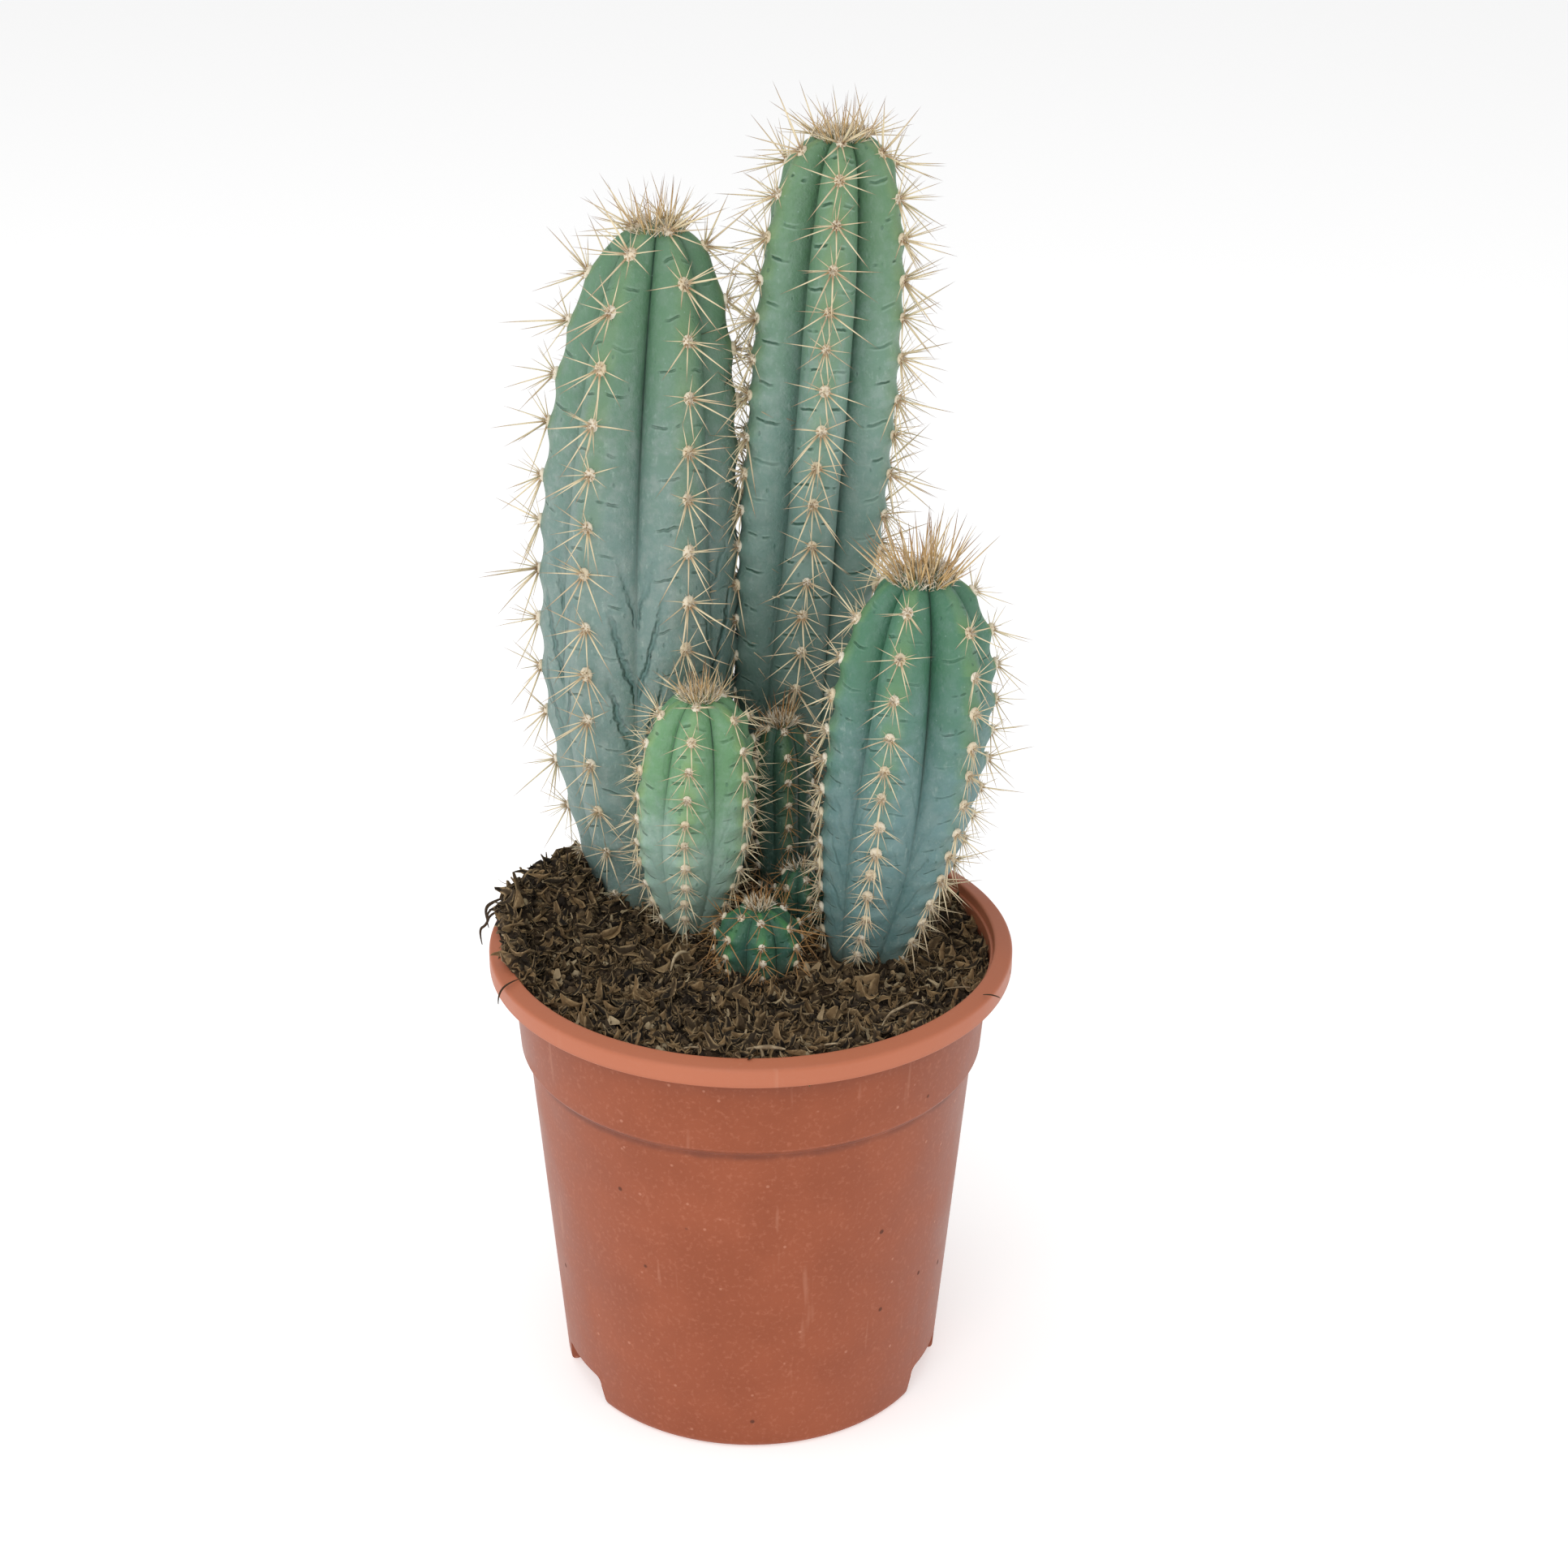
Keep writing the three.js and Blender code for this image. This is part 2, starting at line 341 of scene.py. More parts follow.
def moulded_plastic():
    material, tree, shader = new_material("terracotta polypropylene")
    place = object_place(tree)
    z = place.parts()[2]
    cloud = grain(tree, place, 55, 4)
    fine = grain(tree, place, 900, 2)
    base = mixed(tree, cloud.ramp(0.3, 0.72), colour("8f4728"), colour("994f30"))
    # Painted light: the rim is lighter than the wall below it.
    rim_painted_light = z.ramp(112 * mm, 116 * mm)
    base = mixed(tree, rim_painted_light * 0.7, base, colour("c87a5b"))
    base = mixed(tree, fine.ramp(0.5, 0.8) * 0.35, base, colour("bb7458"))
    wander = grain(tree, place, 130, 3) - 0.5
    lip_shade = (z + wander * (3 * mm)).ramp(106 * mm, 114.5 * mm) * z.ramp(114.9 * mm, 114.4 * mm)
    base = mixed(tree, lip_shade * 0.45, base, colour("6d3a2a"))
    # Painted shade along the stacking ledge, broken up by dirt smudges.
    ledge_shade_band = (z + wander * (1.2 * mm) - 91 * mm).math("ABSOLUTE").ramp(2.2 * mm, 0.4 * mm)
    ledge_dirt_and_shade = ledge_shade_band * grain(tree, place, 60, 3).ramp(0.3, 0.62, 0.35, 1.0)
    base = mixed(tree, ledge_dirt_and_shade * 0.6, base, colour("5f3023"))
    dark = specks(tree, place, 190, 0.16, 0.1)
    base = mixed(tree, dark * 0.75, base, colour("4a2a20"))
    light = specks(tree, place, 260, 0.14, 0.16)
    base = mixed(tree, light * 0.4, base, colour("cf8f74"))
    scratch = grain(tree, place, 260, 2, 0.6, (1, 1, 0.06)).ramp(0.66, 0.76)
    base = mixed(tree, scratch * 0.25, base, colour("c58a70"))
    feed(shader.inputs["Base Color"], base)
    feed(shader.inputs["Roughness"], cloud.ramp(0.2, 0.8, 0.36, 0.5) + dark * 0.3)
    shader.inputs["Specular IOR Level"].default_value = 0.3
    texture = bumped(tree, fine, 0.05 * mm, 0.5)
    waves = bumped(tree, grain(tree, place, 40, 1), 0.35 * mm, 0.25, texture)
    feed(shader.inputs["Normal"], bumped(tree, dark + light, 0.1 * mm, 0.6, waves))
    return material


pot.data.materials.clear()
pot.data.materials.append(moulded_plastic())
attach(pot, "root")
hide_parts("pot")


# ---- Soil ----
# Peat-based potting soil, pressed in by hand round the stems. It is one body that fills the pot,
# heaped at the back left, where it spills over the rim, and lower along the right edge.
soil_level = 115.6 * mm
soil_rings = 170
soil_columns = 380
soil_inner_low = wall_radius(ledge_height) - wall_thickness
soil_inner_high = rim_inner_radius


def smooth(value, low, high):
    share = min(max((value - low) / max(high - low, 1e-9), 0), 1)
    return share * share * (3 - 2 * share)


def soil_height(x, y):
    """The level of the soil before its crumbs, in metres."""
    heap = 10.5 * math.exp(-((x / mm + 52) / 13) ** 2 - ((y / mm - 26) / 17) ** 2)
    bank = 3 * smooth(-y / mm, 30, 58)
    dip = 2.4 * math.exp(-((x / mm - 57) / 12) ** 2 - ((y / mm - 6) / 26) ** 2)
    ripple = 0.5 * math.sin(x / mm / 5.3) * math.cos(y / mm / 6.1)
    return soil_level + (heap + bank - dip + ripple) * mm


def inside_radius(height):
    """The radius of the pot's inner wall at a height."""
    share = (height - ledge_height) / (pot_height - ledge_height)
    start = collar_bottom[0] - wall_thickness
    return start + (soil_inner_high - start) * min(max(share, 0), 1)


def spill(angle):
    """How far the soil lies out over the rim, from 0 to 1. The angle runs from +X towards +Y."""
    left = math.exp(-((angle - math.radians(167)) / math.radians(17)) ** 2)
    back = 0.55 * math.exp(-((angle - math.radians(140)) / math.radians(9)) ** 2)
    front = 0.5 * math.exp(-((angle - math.radians(196)) / math.radians(7)) ** 2)
    return min(left + back + front, 1)


def crumbs(spot):
    """Rough peat: broad lumps, small clods and sharp grains, in metres."""
    lumps = noise.fractal(spot / (7 * mm), 0.9, 2.0, 4) * 1.6
    clods = noise.ridged_multi_fractal(spot / (4.5 * mm), 0.8, 2.1, 3, 0.9, 1.9) * 0.75
    return (lumps + clods - 0.9) * mm


places = []
for ring in range(soil_rings + 1):
    share = ring / soil_rings
    for column in range(soil_columns):
        angle = 2 * math.pi * column / soil_columns
        out = spill(angle if angle > 0 else angle + 2 * math.pi)
        ragged = noise.noise(Vector((math.cos(angle), math.sin(angle), 0.3)) * 9) * 1.6 * mm
        wall = inside_radius(soil_level) - 0.5 * mm
        lip = wall + out * (5.6 * mm + ragged)
        reach = lip * share
        x = reach * math.cos(angle)
        y = reach * math.sin(angle)
        height = soil_height(x, y)
        if reach > wall - 3 * mm:
            over = pot_height + 1.9 * mm + 2.4 * mm * out
            strength = min(out * 2.2, 1)
            raised = (max(height, over) - height) * strength
            height = height + raised * smooth(reach, wall - 9 * mm, wall)
            drop = smooth(reach, wall + 0.55 * (lip - wall), lip)
            height -= drop * strength * 2.2 * mm
        fade = 1 - smooth(share, 0.985, 1) * (1 - out)
        height += crumbs(Vector((x, y, height))) * fade
        if out < 0.1 and reach > wall - 1 * mm:
            height = min(height, pot_height - 0.6 * mm + 2 * mm)
        places.append((x, y, height))

soil_shape = bmesh.new()
centre = soil_shape.verts.new((0, 0, places[0][2]))
rings = []
for ring in range(1, soil_rings + 1):
    start = ring * soil_columns
    rings.append([soil_shape.verts.new(spot) for spot in places[start:start + soil_columns]])
under = []
for column, vertex in enumerate(rings[-1]):
    angle = 2 * math.pi * column / soil_columns
    out = spill(angle)
    tuck = inside_radius(pot_height) + 0.6 * mm
    reach = max(min(vertex.co.xy.length - 0.4 * mm, tuck), inside_radius(soil_level) - 0.6 * mm)
    reach = reach if out > 0.1 else inside_radius(soil_level) - 0.5 * mm
    level = pot_height + 0.25 * mm if out > 0.1 else soil_level - 2.5 * mm
    level = min(level, vertex.co.z - 0.4 * mm)
    under.append(soil_shape.verts.new((reach * math.cos(angle), reach * math.sin(angle), level)))
rings.append(under)
wall_steps = (
    (112 * mm, inside_radius(112 * mm) - 0.35 * mm),
    (94.5 * mm, inside_radius(94.5 * mm) - 0.35 * mm),
    (ledge_height - wall_thickness, soil_inner_low - 0.45 * mm),
    (floor_top + 2.5 * mm, wall_radius(floor_top) - wall_thickness - 0.45 * mm),
    (floor_top + 0.35 * mm, wall_radius(floor_top) - wall_thickness - 2.6 * mm),
)
for height, reach in wall_steps:
    ring = []
    for column in range(soil_columns):
        angle = 2 * math.pi * column / soil_columns
        ring.append(soil_shape.verts.new((reach * math.cos(angle), reach * math.sin(angle), height)))
    rings.append(ring)
bottom = soil_shape.verts.new((0, 0, floor_top + 0.35 * mm))
for column in range(soil_columns):
    after = (column + 1) % soil_columns
    soil_shape.faces.new((centre, rings[0][column], rings[0][after]))
    soil_shape.faces.new((bottom, rings[-1][after], rings[-1][column]))
    for inner, outer in zip(rings, rings[1:]):
        soil_shape.faces.new((inner[column], outer[column], outer[after], inner[after]))
bmesh.ops.recalc_face_normals(soil_shape, faces=soil_shape.faces)
soil_mesh = bpy.data.meshes.new("soil_body")
soil_shape.to_mesh(soil_mesh)
soil_shape.free()
soil = bpy.data.objects.new("soil_body", soil_mesh)
bpy.context.collection.objects.link(soil)
soil.data.polygons.foreach_set("use_smooth", [True] * len(soil.data.polygons))


def damp_peat():
    material, tree, shader = new_material("damp peat")
    place = object_place(tree)
    lumps = grain(tree, place, 160, 5, 0.65)
    fine = grain(tree, place, 900, 3, 0.7)
    base = mixed(tree, lumps.ramp(0.32, 0.66), colour("19120c"), colour("463626"))
    base = mixed(tree, fine.ramp(0.56, 0.74) * 0.6, base, colour("7a6750"))
    moss = grain(tree, place, 38, 3).ramp(0.66, 0.74) * fine.ramp(0.4, 0.6)
    base = mixed(tree, moss * 0.55, base, colour("3f5a2c"))
    feed(shader.inputs["Base Color"], base)
    shader.inputs["Roughness"].default_value = 0.92
    shader.inputs["Specular IOR Level"].default_value = 0.25
    texture = bumped(tree, fine, 0.5 * mm, 1.0)
    feed(shader.inputs["Normal"], bumped(tree, lumps, 1.2 * mm, 1.0, texture))
    return material


soil.data.materials.append(damp_peat())
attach(soil, "root")
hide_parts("soil")


# ---- Stems ----
# Seven living stems of one blue-green columnar cactus, each grown in one piece: a swollen column
# that closes as a dome, with five to seven ribs. The waxy skin is folded into valleys between the
# ribs and creased across each rib between the areoles. The feet are buried in the soil.

# Lengths are in millimetres. foot is the buried end, bow the point that the axis leans towards and
# crown the top. turn is the angle of one crest from the front towards +X. swell shapes the rise
# from the foot to the widest height, and dome the closing above it. valley is the share of the
# radius left in a valley, which opens between the heights in fades. bulge is how far a crest
# swells at an areole. The areoles start first spacings below the crown and come every spacing down
# a rib, rows of them in all, and crowding is the share of extra ones over the first 100 mm.
# shade, creased and feathers are how strongly the skin shows painted shade on the flanks, painted shade in
# the creases with a painted highlight on their lower lips, and painted shade in the folds beside the valleys.
# The strength listed after creased is painted shade on the skin low down. skin is its green, blue, crest and
# wax colours, and greens the heights between which blue turns to green.
stems = [
    {
        "name": "stem_tall_left", "ribs": 6, "turn": 30, "radius": 24.3, "foot_radius": 12,
        "widest": 186, "swell": 1.2, "dome": 2.7, "valley": 0.63, "fades": (178, 262),
        "foot": (-26.4, 34.4, 106), "bow": (-31.4, 42, 205), "crown": (-22.2, 40.5, 289),
        "spacing": 12.6, "crowding": 0, "first": -0.1, "bulge": 0.5, "rows": 16, "shade": 0.08,
        "creased": 0.4, "low_shade": 0.0,
        "skin": ("608768", "748e88", "7f9f70", "909f99"), "greens": (205, 280), "feathers": 0.9,
    },
    {
        "name": "stem_tall_back", "ribs": 6, "turn": -2, "radius": 19.7, "foot_radius": 9,
        "widest": 236, "swell": 0.8, "dome": 3.3, "valley": 0.52, "fades": (150, 230),
        "foot": (5.6, 45.2, 104), "bow": (17, 45.2, 222), "crown": (21.4, 44, 309.4),
        "spacing": 9.7, "crowding": 0, "first": -0.2, "bulge": 0.6, "rows": 21, "shade": 0.2,
        "creased": 0.85, "low_shade": 0.55,
        "skin": ("668c68", "7c9c93", "86a372", "94a9a1"), "greens": (215, 305), "feathers": 0,
    },
    {
        "name": "stem_right", "ribs": 6, "turn": -18, "radius": 19.7, "foot_radius": 5.5,
        "widest": 175, "swell": 0.75, "dome": 2.4, "valley": 0.6, "fades": (142, 194),
        "foot": (26.8, 3, 104), "bow": (39.8, 2, 158), "crown": (40.5, 2, 216),
        "spacing": 11.5, "crowding": 0.5, "first": 0.5, "bulge": 0.65, "rows": 15, "shade": 0.2,
        "creased": 0.35, "low_shade": 0.0,
        "skin": ("4b7c60", "6a8c8c", "7aa06c", "809a98"), "greens": (152, 205), "feathers": 0.2,
    },
    {
        "name": "stem_front_left", "ribs": 6, "turn": -8, "radius": 14.7, "foot_radius": 2,
        "widest": 150, "swell": 1.25, "dome": 3, "valley": 0.7, "fades": (146, 180),
        "foot": (-15.8, 15.5, 105), "bow": (-14, 5.5, 140), "crown": (-12.2, 4, 183),
        "spacing": 7.2, "crowding": 0.15, "first": 0.0, "bulge": 0.55, "rows": 12, "shade": 0.1,
        "creased": 0.45, "low_shade": 0.0,
        "skin": ("6c9a6e", "98b6a9", "8fae72", "a6beb1"), "greens": (132, 170), "feathers": 0.1,
    },
    {
        "name": "offset_middle", "ribs": 5, "turn": 12, "radius": 7.3, "foot_radius": 4,
        "widest": 154, "swell": 0.6, "dome": 2.3, "valley": 0.7, "fades": (110, 150),
        "foot": (8.6, 26, 105), "bow": (8, 23, 138), "crown": (7.5, 20.5, 169.5),
        "spacing": 6.4, "crowding": 0, "first": 0.2, "bulge": 0.4, "rows": 9, "shade": 0.5,
        "creased": 0.2, "low_shade": 0.0,
        "skin": ("405f48", "425a52", "5a7848", "4a6259"), "greens": (120, 165), "feathers": 0,
    },
    {
        "name": "offset_small", "ribs": 6, "turn": 20, "radius": 6.2, "foot_radius": 3,
        "widest": 125, "swell": 0.7, "dome": 2.3, "valley": 0.75, "fades": (108, 124),
        "foot": (12.6, 11, 106), "bow": (12.6, 10.5, 120), "crown": (12.4, 10, 134),
        "spacing": 4.8, "crowding": 0, "first": 0.3, "bulge": 0.3, "rows": 5, "shade": 0.5,
        "creased": 0.2, "low_shade": 0.0,
        "skin": ("3c664f", "3e5f5c", "557f4e", "45695f"), "greens": (112, 132), "feathers": 0,
    },
    {
        "name": "offset_front", "ribs": 7, "turn": 4, "radius": 10.5, "foot_radius": 4.5,
        "widest": 121.5, "swell": 0.7, "dome": 2.2, "valley": 0.78, "fades": (110, 124),
        "foot": (2.2, -6, 107), "bow": (2, -6.5, 120), "crown": (2, -7.5, 132),
        "spacing": 4.6, "crowding": 0, "first": 0.3, "bulge": 0.4, "rows": 6, "shade": 0.5,
        "creased": 0.2, "low_shade": 0.0,
        "skin": ("36694a", "35605c", "5a9454", "44706e"), "greens": (112, 128), "feathers": 0,
    },
]
foot_valley = 0.86
stem_inputs = (
    ("Ribs", "Float"), ("Turn", "Float"), ("Radius", "Float"), ("Foot Radius", "Float"),
    ("Widest", "Float"), ("Swell", "Float"), ("Dome", "Float"), ("Valley", "Float"),
    ("Fade Start", "Float"), ("Fade End", "Float"), ("Foot", "Vector"), ("Bow", "Vector"),
    ("Crown", "Vector"), ("Spacing", "Float"), ("Crowding", "Float"), ("First", "Float"),
    ("Bulge", "Float"),
)


def new_tree(name, inputs, outputs=(("Geometry", "Geometry"),)):
    """An empty geometry node tree, and its inputs as Terms under their names."""
    tree = bpy.data.node_groups.new(name, "GeometryNodeTree")
    for title, kind in inputs:
        tree.interface.new_socket(title, in_out="INPUT", socket_type="NodeSocket" + kind)
    for title, kind in outputs:
        tree.interface.new_socket(title, in_out="OUTPUT", socket_type="NodeSocket" + kind)
    entry = tree.nodes.new("NodeGroupInput")
    return tree, {title: Term(tree, entry.outputs[title]) for title, _ in inputs}


def leave(tree, **values):
    """Sends values out of the tree through its outputs."""
    end = tree.nodes.new("NodeGroupOutput")
    for title, value in values.items():
        feed(end.inputs[title], value)


def joined_vector(tree, x, y, z):
    return result(placed(tree, "ShaderNodeCombineXYZ", {0: x, 1: y, 2: z}))


def number(tree, value):
    return result(placed(tree, "ShaderNodeMath", {0: value, 1: 0.0}, operation="ADD"))


def stem_point_tree():
    """Where the stem's surface is at a rib number and a height. Crests are at whole numbers."""
    inputs = (*stem_inputs, ("Rib", "Float"), ("Height", "Float"))
    outputs = (("Point", "Vector"), ("Outward", "Vector"), ("Count", "Float"))
    tree, given = new_tree("Stem point", inputs, outputs)
    rib = given["Rib"]
    height = given["Height"]
    foot = given["Foot"].parts()
    bow = given["Bow"].parts()
    crown = given["Crown"].parts()
    above_foot = (height - foot[2]).math("MAXIMUM", 0.0)
    steady = (bow[2] - foot[2]) * 2
    easing = foot[2] - bow[2] * 2 + crown[2]
    way = above_foot * 2 / (steady + (steady * steady + easing * above_foot * 4).math("SQRT"))
    rest = way.math("MULTIPLY", -1.0) + 1
    centre = []
    for axis in range(2):
        centre.append(foot[axis] * rest * rest + bow[axis] * way * rest * 2 + crown[axis] * way * way)
    rise = (above_foot / (given["Widest"] - foot[2])).math("MINIMUM", 1.0)
    swell = (rise * (math.pi / 2)).math("SINE") ** given["Swell"]
    lower = given["Foot Radius"] + (given["Radius"] - given["Foot Radius"]) * swell
    close = (height - given["Widest"]) / (crown[2] - given["Widest"])
    close = close.math("MAXIMUM", 0.0).math("MINIMUM", 1.0)
    dome = (close ** given["Dome"]).math("MULTIPLY", -1.0) + 1
    upper = dome.math("MAXIMUM", 0.0) ** (number(tree, 1.0) / given["Dome"])
    below = (crown[2] - height).math("MAXIMUM", 0.0)
    count = below / given["Spacing"] * (below * 10 * given["Crowding"] + 1) - given["First"]
    whole = (rib + 0.5).math("FLOOR")
    phase = count - whole.math("MODULO", 2.0).math("ABSOLUTE") * 0.5
    ridge = (rib * math.pi).math("COSINE").math("ABSOLUTE")
    open_share = height.ramp(given["Fade Start"], given["Fade End"])
    valley = open_share * (given["Valley"] - foot_valley) + foot_valley
    share = (ridge ** 0.66) * (valley.math("MULTIPLY", -1.0) + 1) + valley
    wave = ((phase * math.pi - 0.12).math("COSINE").math("ABSOLUTE") ** 2.6) * 2 - 0.7
    bulge = wave * (ridge ** 3.0) * given["Bulge"] * lower / given["Radius"]
    reach = (lower * share + bulge) * upper
    angle = rib * (2 * math.pi) / given["Ribs"] + given["Turn"]
    side = angle.math("SINE")
    front = angle.math("COSINE").math("MULTIPLY", -1.0)
    zero = number(tree, 0.0)
    outward = joined_vector(tree, side, front, zero)
    point = joined_vector(tree, centre[0] + side * reach, centre[1] + front * reach, height)
    leave(tree, Point=point, Outward=outward, Count=count)
    return tree


stem_point = stem_point_tree()


def use_stem_point(tree, given, rib, height):
    """Adds the stem point group to a tree. Its outputs are Point, Outward and Count."""
    node = tree.nodes.new("GeometryNodeGroup")
    node.node_tree = stem_point
    for title, _ in stem_inputs:
        feed(node.inputs[title], given[title])
    feed(node.inputs["Rib"], rib)
    feed(node.inputs["Height"], height)
    return node


def stem_skin_tree():
    """The closed skin of one stem: a grid wrapped round the axis, with its seam in a valley."""
    inputs = (*stem_inputs, ("Columns", "Int"), ("Rows", "Int"), ("Lumps", "Float"),
              ("Material", "Material"))
    tree, given = new_tree("Ribbed stem", inputs)
    grid = placed(tree, "GeometryNodeMeshGrid", {
        "Size X": 1.0, "Size Y": 1.0,
        "Vertices X": given["Columns"] + 1, "Vertices Y": given["Rows"] + 1,
    })
    across, up = result(placed(tree, "GeometryNodeInputPosition", {})).parts()[:2]
    rib = (across + 0.5) * given["Ribs"] - 0.5
    foot = given["Foot"].parts()[2]
    crown = given["Crown"].parts()[2]
    climb = ((up + 0.5) * (math.pi / 2)).math("SINE").math("MAXIMUM", 0.0) ** 1.1
    height = foot + (crown - foot) * climb
    spot = use_stem_point(tree, given, rib, height)
    marks = joined_vector(tree, rib, result(spot, "Count"), (height - foot) / (crown - foot))
    marked = placed(tree, "GeometryNodeStoreNamedAttribute", {
        "Geometry": result(grid), "Name": "marks", "Value": marks,
    }, data_type="FLOAT_VECTOR", domain="CORNER")
    axis_low = use_stem_point(tree, {**given, "Radius": number(tree, 0.0),
                                     "Foot Radius": number(tree, 0.0)}, rib, height)
    inside = (up + 0.5).math("GREATER_THAN", 0.0001)
    rough = result(placed(tree, "ShaderNodeTexNoise", {
        "Vector": result(spot, "Point"), "Scale": 75.0, "Detail": 2.0,
    })) - 0.5
    solid = result(spot, "Point").vector("ADD", result(spot, "Outward").times(
        rough * given["Lumps"] * climb.ramp(0.999, 0.97)))
    place = placed(tree, "ShaderNodeMix", {
        0: inside, 4: result(axis_low, "Point"), 5: solid,
    }, data_type="VECTOR")
    moved = placed(tree, "GeometryNodeSetPosition", {
        "Geometry": result(marked), "Position": result(place, 1),
    })
    closed = placed(tree, "GeometryNodeMergeByDistance", {"Geometry": result(moved), "Distance": 0.000002})
    soft = placed(tree, "GeometryNodeSetShadeSmooth", {"Geometry": result(closed)})
    real = placed(tree, "GeometryNodeRealizeInstances", {"Geometry": result(soft)})
    dressed = placed(tree, "GeometryNodeSetMaterial", {
        "Geometry": result(real), "Material": given["Material"],
    })
    leave(tree, Geometry=result(dressed))
    return tree


def finished(name, tree, values):
    """A plain mesh object of what the tree makes with these values."""
    piece = bpy.data.objects.new(name, bpy.data.meshes.new(name))
    bpy.context.collection.objects.link(piece)
    maker = piece.modifiers.new("Shape", "NODES")
    maker.node_group = tree
    for item in tree.interface.items_tree:
        if item.item_type == "SOCKET" and item.in_out == "INPUT" and item.name in values:
            maker[item.identifier] = values[item.name]
    graph = bpy.context.evaluated_depsgraph_get()
    made = bpy.data.meshes.new_from_object(
        piece.evaluated_get(graph), preserve_all_data_layers=True, depsgraph=graph)
    piece.modifiers.clear()
    piece.data = made
    made.name = name
    return piece


def stem_values(stem):
    """A stem's sizes as the tree's inputs, in metres and radians."""
    return {
        "Ribs": float(stem["ribs"]), "Turn": math.radians(stem["turn"]),
        "Radius": stem["radius"] * mm, "Foot Radius": stem["foot_radius"] * mm,
        "Widest": stem["widest"] * mm, "Swell": float(stem["swell"]), "Dome": float(stem["dome"]),
        "Valley": stem["valley"], "Fade Start": stem["fades"][0] * mm,
        "Fade End": stem["fades"][1] * mm,
        "Foot": [value * mm for value in stem["foot"]],
        "Bow": [value * mm for value in stem["bow"]],
        "Crown": [value * mm for value in stem["crown"]],
        "Spacing": stem["spacing"] * mm, "Crowding": float(stem["crowding"]),
        "First": float(stem["first"]), "Bulge": stem["bulge"] * mm,
    }


